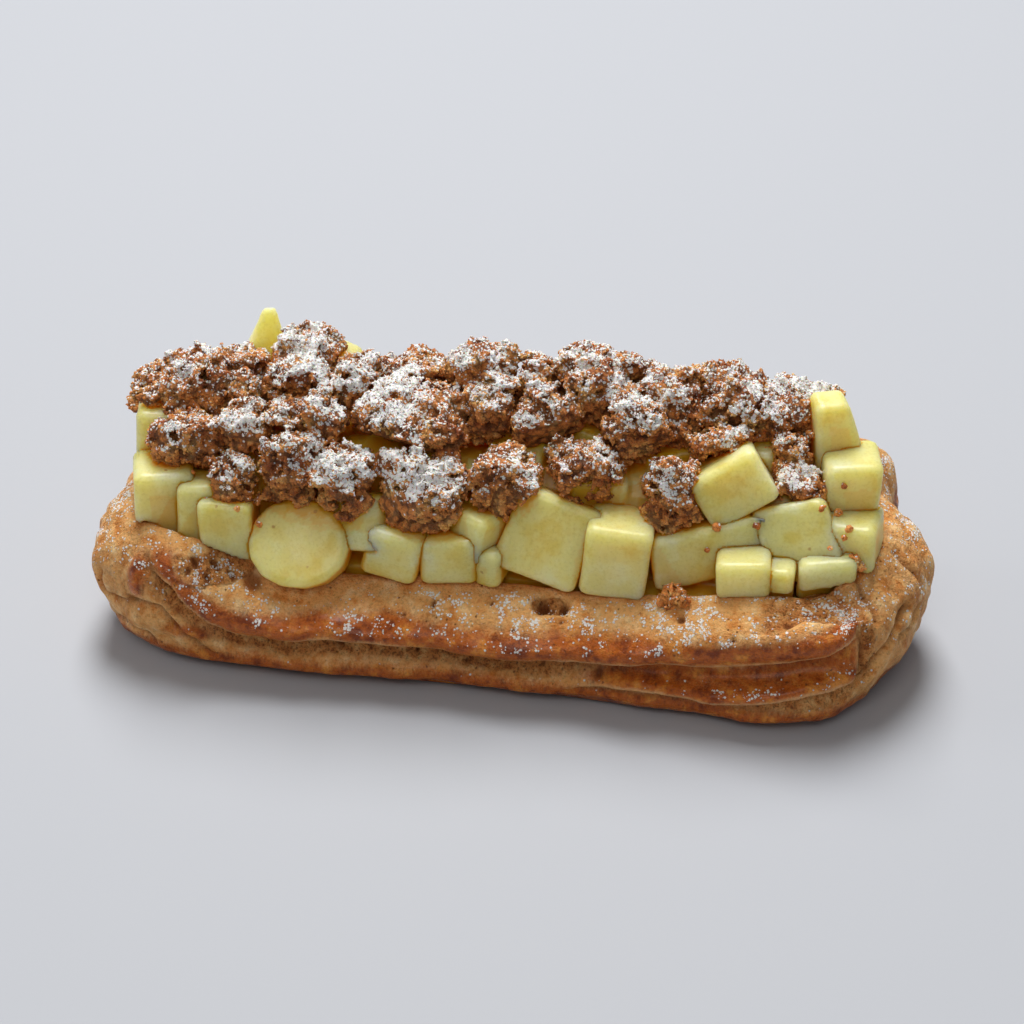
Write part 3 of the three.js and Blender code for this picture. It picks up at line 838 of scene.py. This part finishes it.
# %% Sky on every piece
def joined_copy(pieces, name):
    """One object with the faces of many pieces."""
    points, faces, first = [], [], 0
    for piece in pieces:
        points.append(read_mesh(piece)[0] * MM)
        faces += [[first + index for index in polygon.vertices] for polygon in piece.data.polygons]
        first += len(piece.data.vertices)
    mesh = bpy.data.meshes.new(name)
    mesh.from_pydata(np.concatenate(points), [], faces)
    return link_mesh(mesh, name)


SKY = sky_tree()
everything = [choux_bun, *apples.values(), *crumbles.values()]
blockers = joined_copy(everything, "sky_blockers")
for piece in everything:
    run_tree(piece, SKY, {"Blockers": blockers})
print("sky: the bun sees", round(read_values(choux_bun, "sky").mean(), 2), "of it")

# %% [markdown]
# ## Where the sugar lies
#
# The share of sugar at a point is stored as "sugar": how well it faces up and sees the sky, times noise in
# clumps. On a crumble piece it also counts whether the point is in the upper half, so that the top is white
# and the flanks stay brown. The bun got scattered clumps, and the apple none, since it is wet and melts
# what falls on it.

# %% Sugar shares
FACING_FROM = -0.1
SKY_NEEDED = (0.1, 0.85)
CLUMP_EDGE = (-0.2, 0.5)
# The part that goes by place and not by normal, how far up is enough, the size of clumps, the least and most.
BUN_SUGAR = {"by_place": 0.0, "enough": 0.65, "clump": 1.5, "least": 0.1, "most": 0.95}
CRUMBLE_SUGAR = {"by_place": 0.5, "enough": 0.5, "clump": 2.8, "least": 0.5, "most": 1.4}


def facing_up(piece, by_place):
    """How far the points face up, by their normals and by their place on the piece."""
    points, normals = read_mesh(piece)
    away = points - points.mean(axis=0)
    return (1 - by_place) * normals[:, 2] + by_place * away[:, 2] / np.linalg.norm(away, axis=1)


def sugar_share(piece, by_place, enough, clump, least, most):
    """The share of sugar where the sky reaches, which wanders between the least and the most in clumps."""
    facing = smoothstep(facing_up(piece, by_place), FACING_FROM, enough)
    reached = facing * smoothstep(read_values(piece, "sky"), *SKY_NEEDED)
    wander = waves(read_mesh(piece)[0], [(0.45, 4 * clump, 3.7), (0.6, clump, 8.8)])
    return reached * (least + (most - least) * smoothstep(wander, *CLUMP_EDGE))


write_values(choux_bun, "sugar", sugar_share(choux_bun, **BUN_SUGAR))
for piece in crumbles.values():
    write_values(piece, "sugar", sugar_share(piece, **CRUMBLE_SUGAR))
print("sugar: mean share on the bun", round(read_values(choux_bun, "sugar").mean(), 3))

# %% [markdown]
# ## Colours and patterns
#
# Colours are written as they look on a screen and turned into the linear values that Blender reckons with.
# Every pattern reads the place on the object, so it stays where it is when the piece moves.

# %% Colours and patterns
def tint(red, green, blue):
    shares = [part / 255 for part in (red, green, blue)]
    return (*[share / 12.92 if share < 0.041 else ((share + 0.055) / 1.055) ** 2.4 for share in shares], 1.0)


def object_place(tree):
    return add(tree, "ShaderNodeTexCoord").outputs["Object"]


def cell_pattern(tree, size, place):
    """Cells of that size in millimetres: the distance from the middle, and random numbers of the cell."""
    cells = add(tree, "ShaderNodeTexVoronoi", {"Vector": place, "Scale": pattern_scale(tree, size)}).outputs
    return cells["Distance"], add(tree, "ShaderNodeSeparateColor", {0: cells["Color"]}).outputs


SUGAR_WHITE = tint(250, 247, 242)
print("sugar white:", [round(part, 3) for part in SUGAR_WHITE])

# %% [markdown]
# ## Icing sugar as an effect
#
# The same sugar lies on the bun and the crumble, so it is one shader group. It lays a white dot in some
# cells of a cell pattern: the larger the stored share of sugar, the more dots there are and the wider they
# get, until they run together into clumps. The dots differ in size, as grains do. The group gives the mask
# of where the sugar covers the surface.

# %% The dusting group
DOT_RAGGED = 0.6
DOT_UNEVEN = 0.22
DOT_EDGE = (0.2, 0.4)
PICKED_EDGE = (0.0, 0.05)


def dusting_group():
    tree, given, out = new_tree(
        "icing_sugar_dusting", "ShaderNodeTree",
        [("Amount", NUMBER, 1.0), ("Speck Size", NUMBER, 0.4), ("Spread", NUMBER, 0.35)],
        [("Mask", NUMBER)],
    )
    place = object_place(tree)
    share = reckon(tree, "MULTIPLY", read(tree, "sugar"), given["Amount"])
    distance, chances = cell_pattern(tree, given["Speck Size"], place)
    ragged = total(tree, (texture(tree, 0.3, 2.0, 0.6, place), DOT_RAGGED), (chances[1], -DOT_UNEVEN),
                   (DOT_UNEVEN - DOT_RAGGED) / 2)
    away = total(tree, distance, ragged)
    away = reckon(tree, "SUBTRACT", away, reckon(tree, "MULTIPLY", share, given["Spread"]))
    picked = ramp(tree, total(tree, share, (chances[0], -1.0)), *PICKED_EDGE)
    tree.links.new(reckon(tree, "MULTIPLY", ramp(tree, away, *DOT_EDGE, 1.0, 0.0), picked), out["Mask"])
    return tree


DUSTING = dusting_group()

# %% [markdown]
# ## Mottling as an effect
#
# Nothing baked has one flat colour. This group blends three colours by noise of a given size. A second,
# finer noise paints shade into the colour in its hollows, and is handed on as a height for the bump.

# %% The mottle group
def mottle_group():
    tree, given, out = new_tree(
        "baked_mottle", "ShaderNodeTree",
        [("Light", COLOUR), ("Middle", COLOUR), ("Dark", COLOUR), ("Size", NUMBER, 3.0),
         ("Grain Size", NUMBER, 0.5), ("Grain Depth", NUMBER, 0.3)],
        [("Color", COLOUR), ("Height", NUMBER)],
    )
    place = object_place(tree)
    broad = texture(tree, given["Size"], 5.0, 0.62, place)
    grain = texture(tree, given["Grain Size"], 3.0, 0.65, place)
    lower = blend(tree, ramp(tree, broad, 0.34, 0.5), given["Dark"], given["Middle"])
    mottled = blend(tree, ramp(tree, broad, 0.5, 0.68), lower, given["Light"])
    # Painted shade in the hollows of the fine noise.
    hollow_shade = reckon(tree, "MULTIPLY", ramp(tree, grain, 0.52, 0.32), given["Grain Depth"])
    tree.links.new(scaled(tree, mottled, reckon(tree, "SUBTRACT", 1.0, hollow_shade)), out["Color"])
    tree.links.new(grain, out["Height"])
    return tree


MOTTLE = mottle_group()

# %% [markdown]
# ## Scattered spots as an effect
#
# Pores in the crust and flecks on the apple are both small ragged spots, in some cells of a cell pattern
# only.

# %% The spots group
SPOT_CORE, SPOT_RIM = 0.6, 1.4


def spots_group():
    tree, given, out = new_tree(
        "scattered_spots", "ShaderNodeTree",
        [("Spacing", NUMBER, 2.0), ("Radius", NUMBER, 0.2), ("Share", NUMBER, 0.3)],
        [("Mask", NUMBER)],
    )
    place = object_place(tree)
    distance, chances = cell_pattern(tree, given["Spacing"], place)
    away = total(tree, (distance, given["Spacing"]), (texture(tree, 0.4, 2.0, 0.5, place), 0.4), -0.2)
    core, rim = [reckon(tree, "MULTIPLY", given["Radius"], part) for part in (SPOT_CORE, SPOT_RIM)]
    picked = reckon(tree, "LESS_THAN", chances[0], given["Share"])
    tree.links.new(reckon(tree, "MULTIPLY", ramp(tree, away, core, rim, 1.0, 0.0), picked), out["Mask"])
    return tree


SPOTS = spots_group()
print("effects:", [group.name for group in (DUSTING, MOTTLE, SPOTS)])

# %% [markdown]
# ## Materials
#
# The Principled shader stays in the material itself, and what is the same all over a surface is set
# straight on its sockets. Light that goes in and comes out again needs a weight and three lengths, one for
# each colour.

# %% Material helpers
def new_material(name):
    material = bpy.data.materials.new(name)
    material.use_nodes = True
    material.node_tree.nodes.clear()
    return material, material.node_tree


def bumped(tree, height, depth, strength=1.0):
    """The normal of a surface with that height on it, where one is the depth in millimetres."""
    inputs = {"Strength": strength, "Distance": depth * MM, "Height": height}
    return add(tree, "ShaderNodeBump", inputs).outputs[0]


def glowing(weight, reach):
    """Light that goes in, as far as the reach of red, green and blue in millimetres."""
    radius = tuple(part * MM for part in reach)
    return {"Subsurface Weight": weight, "Subsurface Radius": radius, "Subsurface Scale": 1.0}


def finish_material(tree, inputs):
    """Ends a material: the shader with those inputs."""
    shader = add(tree, "ShaderNodeBsdfPrincipled", inputs)
    output = tree.nodes.new("ShaderNodeOutputMaterial")
    tree.links.new(shader.outputs[0], output.inputs[0])


# %% [markdown]
# ## The choux crust
#
# The crust is tan where it is thin, orange-brown and a little shiny on the ridges, and pale, rough and full
# of tiny pits where the crumb shows. Creases, hollows, pores and the open cells of the crumb are darkened
# with painted shade. A thin pale line runs along the lower edge of each ridge. The bump has four parts:
# fibres, blisters, pores and the open cells of the crumb.

# %% Crust colours
SKIN = {"Light": tint(250, 208, 148), "Middle": tint(238, 178, 108), "Dark": tint(216, 138, 64),
        "Size": 2.6, "Grain Size": 0.6, "Grain Depth": 0.25}
BAKED_CRUST = {"Light": tint(228, 146, 56), "Middle": tint(192, 98, 26), "Dark": tint(136, 58, 10),
               "Size": 3.0, "Grain Size": 0.6, "Grain Depth": 0.25}
BREAD = {"Light": tint(238, 186, 120), "Middle": tint(216, 144, 78), "Dark": tint(166, 94, 42),
         "Size": 1.6, "Grain Size": 0.4, "Grain Depth": 0.4}
PALE_EDGE = tint(236, 186, 132)
# The colour of painted shade in creases, hollows and pores.
PIT_SHADE_COLOUR = tint(140, 78, 36)
PORES = {"Spacing": 1.7, "Radius": 0.17, "Share": 0.35}
CRUST_DUST = {"Amount": 1.0, "Speck Size": 0.5, "Spread": 0.3}
DUST_COVER = 0.92
OPEN_CELLS_SCALE = 1300.0
FIBRE_STRETCH = 0.3


def crust_patterns(tree):
    """The upright fibres and the open cells of the crumb."""
    shrink = {"Vector": object_place(tree), "Scale": (1.0, 1.0, FIBRE_STRETCH)}
    stretched = add(tree, "ShaderNodeMapping", shrink).outputs[0]
    fibres = texture(tree, 0.4, 4.0, 0.7, stretched)
    cells = add(tree, "ShaderNodeTexVoronoi", {"Vector": stretched, "Scale": OPEN_CELLS_SCALE})
    return fibres, ramp(tree, cells.outputs["Distance"], 0.08, 0.36)


def crust_colour(tree, skin, marks, fibres, open_cells, pores):
    """The colour of the crust under the sugar."""
    crumb_share, brown, pits, pale_edge = marks
    baked, bread = use_group(tree, MOTTLE, BAKED_CRUST), use_group(tree, MOTTLE, BREAD)
    # The open cells of the crumb darken its colour: painted shade in the cells.
    crumb = scaled(tree, bread["Color"], ramp(tree, total(tree, open_cells, fibres), 0.6, 1.4, 0.7, 1.1))
    streaked = total(tree, brown, (fibres, 0.9), -0.45)
    colour = blend(tree, ramp(tree, streaked, 0.0, 0.8), skin["Color"], baked["Color"])
    crumbly = ramp(tree, total(tree, crumb_share, (fibres, 0.5), (brown, -0.5), -0.25), 0.15, 0.7)
    colour = blend(tree, crumbly, colour, crumb)
    colour = blend(tree, reckon(tree, "MULTIPLY", pale_edge, 0.75), colour, PALE_EDGE)
    # Creases, hollows and pores are darkened with painted shade.
    placed_pit_shade = ramp(tree, pits, 0.15, 0.8, 0.0, 0.85)
    all_pit_shade = reckon(tree, "MAXIMUM", placed_pit_shade, reckon(tree, "MULTIPLY", pores, 0.8))
    return blend(tree, all_pit_shade, colour, PIT_SHADE_COLOUR)


# %% Crust material
def crust_material():
    material, tree = new_material("choux_crust")
    marks = [read(tree, name) for name in ("crumb", "brown", "pits", "edge")]
    crumb_share, brown = marks[:2]
    fibres, open_cells = crust_patterns(tree)
    skin = use_group(tree, MOTTLE, SKIN)
    pores = use_group(tree, SPOTS, PORES)["Mask"]
    dust = use_group(tree, DUSTING, CRUST_DUST)["Mask"]
    colour = crust_colour(tree, skin, marks, fibres, open_cells, pores)
    height = total(
        tree, (fibres, ramp(tree, crumb_share, 0.1, 0.7, 0.4, 1.4)), (skin["Height"], 0.8), (pores, -0.6),
        (open_cells, ramp(tree, crumb_share, 0.1, 0.7, 0.1, 0.6)), (dust, 0.3))
    rough = total(tree, 0.4, (crumb_share, 0.4), (brown, -0.14))
    finish_material(tree, {
        "Base Color": blend(tree, reckon(tree, "MULTIPLY", dust, DUST_COVER), colour, SUGAR_WHITE),
        "Roughness": reckon(tree, "MAXIMUM", rough, reckon(tree, "MULTIPLY", dust, 0.85)),
        "Normal": bumped(tree, height, 0.8), "Specular IOR Level": 0.2, **glowing(0.12, (1.2, 0.6, 0.3)),
        "Coat Weight": reckon(tree, "MULTIPLY", brown, 0.35), "Coat Roughness": 0.25})
    return material


choux_bun.data.materials.append(crust_material())

# %% [markdown]
# ## The apple flesh
#
# The flesh is translucent, so light goes in and comes out again: that is subsurface scattering, with a
# radius of millimetres. Where little sky reaches it, deep between the pieces, it is painted amber as shade,
# so it is palest on open faces. Here and there a fleck of crumble sticks to it.

# %% Apple material
FLESH = {"Light": tint(246, 236, 174), "Middle": tint(240, 224, 144), "Dark": tint(232, 208, 112),
         "Size": 8.0, "Grain Size": 0.5, "Grain Depth": 0.07}
# The amber is painted shade, laid where little sky reaches the flesh.
AMBER_SHADE = tint(238, 164, 26)
SHADE_SKY = (0.1, 0.8)
SHADE_SHARE = 0.95
FLECKS = {"Spacing": 3.2, "Radius": 0.3, "Share": 0.14}
FLECK_COLOUR = tint(176, 118, 54)
FLESH_REACH = (9.5, 8.0, 3.5)


def apple_material():
    material, tree = new_material("cooked_apple")
    flesh = use_group(tree, MOTTLE, FLESH)
    # Painted amber shade where the sky is hidden.
    amber_shade = ramp(tree, read(tree, "sky"), *SHADE_SKY, SHADE_SHARE, 0.0)
    colour = blend(tree, amber_shade, flesh["Color"], AMBER_SHADE)
    flecks = use_group(tree, SPOTS, FLECKS)["Mask"]
    finish_material(tree, {
        "Base Color": blend(tree, reckon(tree, "MULTIPLY", flecks, 0.6), colour, FLECK_COLOUR),
        "Roughness": 0.3, "Normal": bumped(tree, flesh["Height"], 0.15, 0.25), "IOR": 1.38,
        **glowing(1.0, FLESH_REACH)})
    return material


APPLE = apple_material()
for piece in apples.values():
    piece.data.materials.append(APPLE)

# %% [markdown]
# ## Scattering grains
#
# Both the grains of the crumble and the grains of sugar are scattered by the same nodes. Points are put on
# the ground no closer than a gap, more of them where the share is large. Each gets a copy of the grain,
# turned and stretched at random. The seeds are fixed, so every run gives the same grains.

# %% The scatter helper
TURN_SEED, STRETCH_SEED, TONE_SEED = 3, 5, 7
ANY_TURN = (6.3, 6.3, 6.3)
PER_SQUARE_MILLIMETRE = 1e6


def random_vector(tree, least, most, seed):
    inputs = {0: least, 1: most, "Seed": seed}
    return add(tree, "FunctionNodeRandomValue", inputs, data_type="FLOAT_VECTOR").outputs[0]


def scattered(tree, given, ground, share, grain, least, most):
    """Copies of the grain on the ground, stretched between the least and the most."""
    density = reckon(tree, "MULTIPLY", given["Density"], PER_SQUARE_MILLIMETRE)
    points = add(tree, "GeometryNodeDistributePointsOnFaces", {
        "Mesh": ground, "Distance Min": in_metres(tree, given["Gap"]), "Density Max": density,
        "Density Factor": share, "Seed": given["Seed"]}, distribute_method="POISSON")
    return add(tree, "GeometryNodeInstanceOnPoints", {
        "Points": points.outputs["Points"], "Instance": grain.outputs["Mesh"],
        "Rotation": random_vector(tree, (0, 0, 0), ANY_TURN, TURN_SEED),
        "Scale": random_vector(tree, least, most, STRETCH_SEED)}).outputs[0]


def realized(tree, geometry):
    return add(tree, "GeometryNodeRealizeInstances", {"Geometry": geometry}).outputs[0]


# %% [markdown]
# ## The crumble: its grains
#
# Every point scattered over a body becomes a small uneven grain with a tone of its own. The attribute
# "grainy" keeps them off the smooth faces.

# %% The tree of the grains
GRAIN_NOISE = {"Scale": 2200.0, "Detail": 1.0}


def crumble_grain_tree():
    tree, given, out = new_tree(
        "crumble_grains", "GeometryNodeTree",
        [("Geometry", GEOMETRY), ("Gap", NUMBER, 0.62), ("Grain Size", NUMBER, 0.27),
         ("Density", NUMBER, 6.0), ("Unevenness", NUMBER, 0.35), ("Seed", WHOLE, 1), ("Material", MATERIAL)],
        [("Geometry", GEOMETRY)],
    )
    body = given["Geometry"]
    grain = add(tree, "GeometryNodeMeshIcoSphere", {
        "Radius": in_metres(tree, given["Grain Size"]), "Subdivisions": 1})
    grains = scattered(tree, given, body, read(tree, "grainy"), grain, (0.5, 0.5, 0.5), (1.5, 1.5, 1.3))
    any_tone = {2: 0.0, 3: 1.0, "Seed": TONE_SEED}
    tone = add(tree, "FunctionNodeRandomValue", any_tone, data_type="FLOAT").outputs[1]
    real = realized(tree, store(tree, grains, "tone", tone, "INSTANCE"))
    rough = jogged(tree, real, GRAIN_NOISE, in_metres(tree, given["Unevenness"]))
    joined = add(tree, "GeometryNodeJoinGeometry")
    tree.links.new(body, joined.inputs[0])
    tree.links.new(rough, joined.inputs[0])
    end_tree(tree, out, joined.outputs[0], given["Material"])
    return tree


# %% Crumble material and pieces
CRUMBLE = {"Light": tint(248, 186, 108), "Middle": tint(222, 138, 66), "Dark": tint(164, 86, 32),
           "Size": 4.0, "Grain Size": 0.35, "Grain Depth": 0.45}
CRUMBLE_DUST = {"Amount": 1.0, "Speck Size": 0.5, "Spread": 0.48}
TONE_RANGE = (0.8, 1.2)
NOOK_SHADE_RANGE = (1.15, 0.4)


def crumble_material():
    material, tree = new_material("baked_crumble")
    broad = use_group(tree, MOTTLE, CRUMBLE)
    # The nooks get painted shade, and the tone of each grain differs at random.
    shade = reckon(tree, "MULTIPLY", ramp(tree, read(tree, "tone"), 0.0, 1.0, *TONE_RANGE),
                   ramp(tree, read(tree, "nook"), 0.0, 1.0, *NOOK_SHADE_RANGE))
    dust = use_group(tree, DUSTING, CRUMBLE_DUST)["Mask"]
    finish_material(tree, {
        "Base Color": blend(tree, dust, scaled(tree, broad["Color"], shade), SUGAR_WHITE),
        "Roughness": total(tree, 0.5, (dust, 0.35)),
        "Normal": bumped(tree, total(tree, broad["Height"], (dust, 0.3)), 0.4),
        **glowing(0.25, (1.2, 0.5, 0.2))})
    return material


BAKED = crumble_material()
GRAINS = crumble_grain_tree()
for number, piece in enumerate(crumbles.values()):
    run_tree(piece, GRAINS, {"Seed": number, "Material": BAKED})
print("crumble:", face_count(crumbles.values()), "faces")

# %% [markdown]
# ## Loose sugar
#
# Flat colour alone makes sugar look painted on. Tiny grains of real mesh stand up in the middle of its
# clumps. One tree scatters them over the bun and the crumble together, by the stored share of sugar. A
# grain is only two pixels wide, so eight faces are enough for it.

# %% The sugar tree
ENOUGH_SUGAR = 0.9


def sugar_tree():
    tree, given, out = new_tree(
        "loose_sugar", "GeometryNodeTree",
        [("Geometry", GEOMETRY), ("On", "NodeSocketCollection"), ("Gap", NUMBER, 0.28),
         ("Grain Size", NUMBER, 0.13), ("Density", NUMBER, 3.0), ("Least Share", NUMBER, 0.3),
         ("Seed", WHOLE, 11), ("Material", MATERIAL)],
        [("Geometry", GEOMETRY)],
    )
    ground = realized(tree, add(tree, "GeometryNodeCollectionInfo", {"Collection": given["On"]}).outputs[0])
    share = ramp(tree, read(tree, "sugar"), given["Least Share"], ENOUGH_SUGAR)
    grain = add(tree, "GeometryNodeMeshUVSphere", {
        "Segments": 4, "Rings": 2, "Radius": in_metres(tree, given["Grain Size"])})
    grains = scattered(tree, given, ground, share, grain, (0.6, 0.6, 0.5), (1.7, 1.7, 1.3))
    end_tree(tree, out, realized(tree, grains), given["Material"])
    return tree


def sugar_material():
    material, tree = new_material("icing_sugar")
    finish_material(tree, {"Base Color": SUGAR_WHITE, "Roughness": 0.6, **glowing(0.3, (0.6, 0.6, 0.6))})
    return material


# %% Loose sugar
sugared = bpy.data.collections.new("sugared")
bpy.context.scene.collection.children.link(sugared)
for piece in [choux_bun, *crumbles.values()]:
    sugared.objects.link(piece)
loose_sugar = link_mesh(bpy.data.meshes.new("loose_sugar"), "loose_icing_sugar")
run_tree(loose_sugar, sugar_tree(), {"On": sugared, "Material": sugar_material()})
bpy.data.collections.remove(sugared)
print("loose sugar:", face_count([loose_sugar]), "faces")

# %% [markdown]
# ## Loose crumbs
#
# Crumbs of the topping have rolled onto the apple and the bun. Their places are given roughly, and each is
# put down on the nearest surface. A tree makes each into a small ragged lump.

# %% The tree of the crumbs
def crumb_tree():
    tree, given, out = new_tree(
        "loose_crumbs", "GeometryNodeTree",
        [("Geometry", GEOMETRY), ("Lump Size", NUMBER, 1.0), ("Lump Depth", NUMBER, 1.1),
         ("Material", MATERIAL)],
        [("Geometry", GEOMETRY)],
    )
    ball = add(tree, "GeometryNodeMeshIcoSphere", {"Radius": 1.0, "Subdivisions": 4})
    crumbs = add(tree, "GeometryNodeInstanceOnPoints", {
        "Points": given["Geometry"], "Instance": ball.outputs["Mesh"], "Scale": read(tree, "radius")})
    lumpy = {"Scale": pattern_scale(tree, given["Lump Size"]), "Detail": 3.0, "Roughness": 0.7}
    depth = reckon(tree, "MULTIPLY", given["Lump Depth"], 2.0)
    rough = jogged(tree, realized(tree, crumbs.outputs[0]), lumpy, read(tree, "radius"), depth)
    end_tree(tree, out, rough, given["Material"])
    return tree


# %% Crumbs
# Crumbs as (x, y, z, radius).
CRUMBS = [
    (29.3, -18.2, 20.4, 2.0), (31.2, -18.8, 20.2, 1.2), (27.6, -18.6, 20.2, 1.0), (58.6, -11.2, 27.0, 1.2),
    (59.9, -11.6, 26.0, 0.8), (-54.1, -13.4, 32.6, 0.5), (-53.2, -12.4, 32.9, 0.4),
    (-50.1, -15.9, 30.2, 0.5), (-48.0, -15.8, 30.2, 0.45), (-44.4, -17.3, 29.8, 0.5),
    (-40.8, -16.5, 26.5, 0.5), (34.3, -12.5, 27.1, 0.45), (35.7, -11.3, 30.3, 0.7),
    (42.2, -10.2, 31.2, 0.7), (52.5, -8.1, 34.3, 0.6), (55.3, -6.6, 32.4, 0.7), (55.9, -4.9, 37.4, 0.5),
    (56.9, -10.5, 30.8, 0.5), (54.6, -11.4, 28.8, 0.4), (57.6, -10.0, 31.7, 0.6), (-35.0, 18.0, 31.0, 0.8),
    (-12.0, 19.5, 30.0, 0.6), (14.0, 20.0, 27.5, 0.9), (33.0, 17.5, 30.0, 0.5), (48.0, 16.0, 29.0, 0.7),
    (-50.0, 14.0, 30.0, 0.6), (-62.0, 4.0, 28.0, 0.6), (24.0, 18.5, 29.5, 1.3),
]
SUNK_SHARE = 0.5


def make_crumbs(crumbs):
    """One point for each crumb, half its radius above the nearest surface."""
    surface = BVHTree.FromPolygons([vertex.co for vertex in blockers.data.vertices],
                                   [polygon.vertices for polygon in blockers.data.polygons])
    places = []
    for x, y, z, radius in crumbs:
        place, normal, _, _ = surface.find_nearest(Vector((x, y, z)) * MM)
        places.append(place + SUNK_SHARE * radius * MM * normal)
    mesh = bpy.data.meshes.new("loose_crumbs")
    mesh.from_pydata(places, [], [])
    made = link_mesh(mesh, "loose_crumbs")
    write_values(made, "radius", [crumb[3] * MM for crumb in crumbs])
    return made


loose_crumbs = make_crumbs(CRUMBS)
run_tree(loose_crumbs, crumb_tree(), {"Material": BAKED})
points, normals = read_mesh(loose_crumbs)
clumped = smoothstep(bumps(points, 1.5), -0.1, 0.2)
write_values(loose_crumbs, "tone", 0.85 + 0.4 * bumps(points, 0.8))
write_values(loose_crumbs, "sugar", 0.8 * smoothstep(normals[:, 2], 0.3, 0.9) * clumped)
bpy.data.objects.remove(blockers)
print("loose crumbs:", face_count([loose_crumbs]), "faces")

# %% [markdown]
# ## What each piece stands for
#
# Every piece rides on the one body of the part. The piece that dresses a node replaces it. Sugar and loose
# crumbs are extra.

# %% Bodies and nodes
for node, piece in [(CHOUX, choux_bun), *apples.items(), *crumbles.items()]:
    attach(piece, "root")
    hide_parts(node)
for piece in (loose_sugar, loose_crumbs):
    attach(piece, "root")
print("pieces:", len(apples) + len(crumbles) + 3)

# %% [markdown]
# ## Floor, light and camera
#
# The bun lies on a plain pale floor. A soft light stands high behind it, so its shadow falls forwards. Two
# weaker ones fill the front and the left, and the pale room fills the rest. The camera looks from the
# photo's side: a little from the right and about 35 degrees from above.

# %% Stage
FLOOR_HALF = 2.5
FLOOR_DROP = 0.05 * MM
FLOOR_COLOUR = tint(176, 179, 185)
ROOM_COLOUR = tint(236, 238, 242)
ROOM_STRENGTH = 0.22
LIGHT_AIM = Vector((0, 0, 0.02))
# Lights as (name, place, width and depth, power, colour).
LIGHTS = [
    ("window", (-0.1, 0.45, 1.0), (0.45, 0.9), 14.8, (1.0, 0.99, 0.98)),
    ("front_fill", (0.05, -0.8, 0.95), (0.6, 0.6), 2.6, (1.0, 0.96, 0.9)),
    ("left_fill", (-1.0, -0.15, 0.5), (0.6, 0.6), 1.7, (1.0, 0.98, 0.95)),
]


def make_floor():
    mesh = bpy.data.meshes.new("floor")
    half = FLOOR_HALF
    corners = [(-half, -half, 0), (half, -half, 0), (half, half, 0), (-half, half, 0)]
    mesh.from_pydata(corners, [], [(0, 1, 2, 3)])
    floor = link_mesh(mesh, "floor")
    floor.location.z = -FLOOR_DROP
    material, tree = new_material("pale_floor")
    finish_material(tree, {"Base Color": FLOOR_COLOUR, "Roughness": 0.7})
    mesh.materials.append(material)


def area_light(name, place, size, power, colour):
    """A soft light that shines on the bun."""
    data = bpy.data.lights.new(name, "AREA")
    data.shape = "ELLIPSE"
    data.size, data.size_y = size
    data.energy = power
    data.color = colour
    light = bpy.data.objects.new(name, data)
    light.location = place
    light.rotation_euler = (LIGHT_AIM - light.location).to_track_quat("-Z", "Y").to_euler()
    bpy.context.scene.collection.objects.link(light)


def make_world():
    world = bpy.data.worlds.new("room")
    world.use_nodes = True
    background = world.node_tree.nodes["Background"]
    background.inputs["Color"].default_value = ROOM_COLOUR
    background.inputs["Strength"].default_value = ROOM_STRENGTH
    bpy.context.scene.world = world


make_floor()
make_world()
for light in LIGHTS:
    area_light(*light)
bpy.context.scene.view_settings.view_transform = "Standard"

# %% Camera
CAMERA_TURN = 9.06
CAMERA_RISE = 34.5
CAMERA_DISTANCE = 600 * MM
CAMERA_AIM = Vector((0.0, -3.3, 24.6)) * MM
FOCAL_LENGTH = 124.1
SENSOR_WIDTH = 36


def make_camera():
    turn, rise = math.radians(CAMERA_TURN), math.radians(CAMERA_RISE)
    back = Vector((math.sin(turn) * math.cos(rise), -math.cos(turn) * math.cos(rise), math.sin(rise)))
    camera = bpy.data.objects.new("camera", bpy.data.cameras.new("camera"))
    camera.data.lens = FOCAL_LENGTH
    camera.data.sensor_width = SENSOR_WIDTH
    camera.location = CAMERA_AIM + back * CAMERA_DISTANCE
    camera.rotation_euler = (-back).to_track_quat("-Z", "Y").to_euler()
    bpy.context.scene.collection.objects.link(camera)
    bpy.context.scene.camera = camera


make_camera()
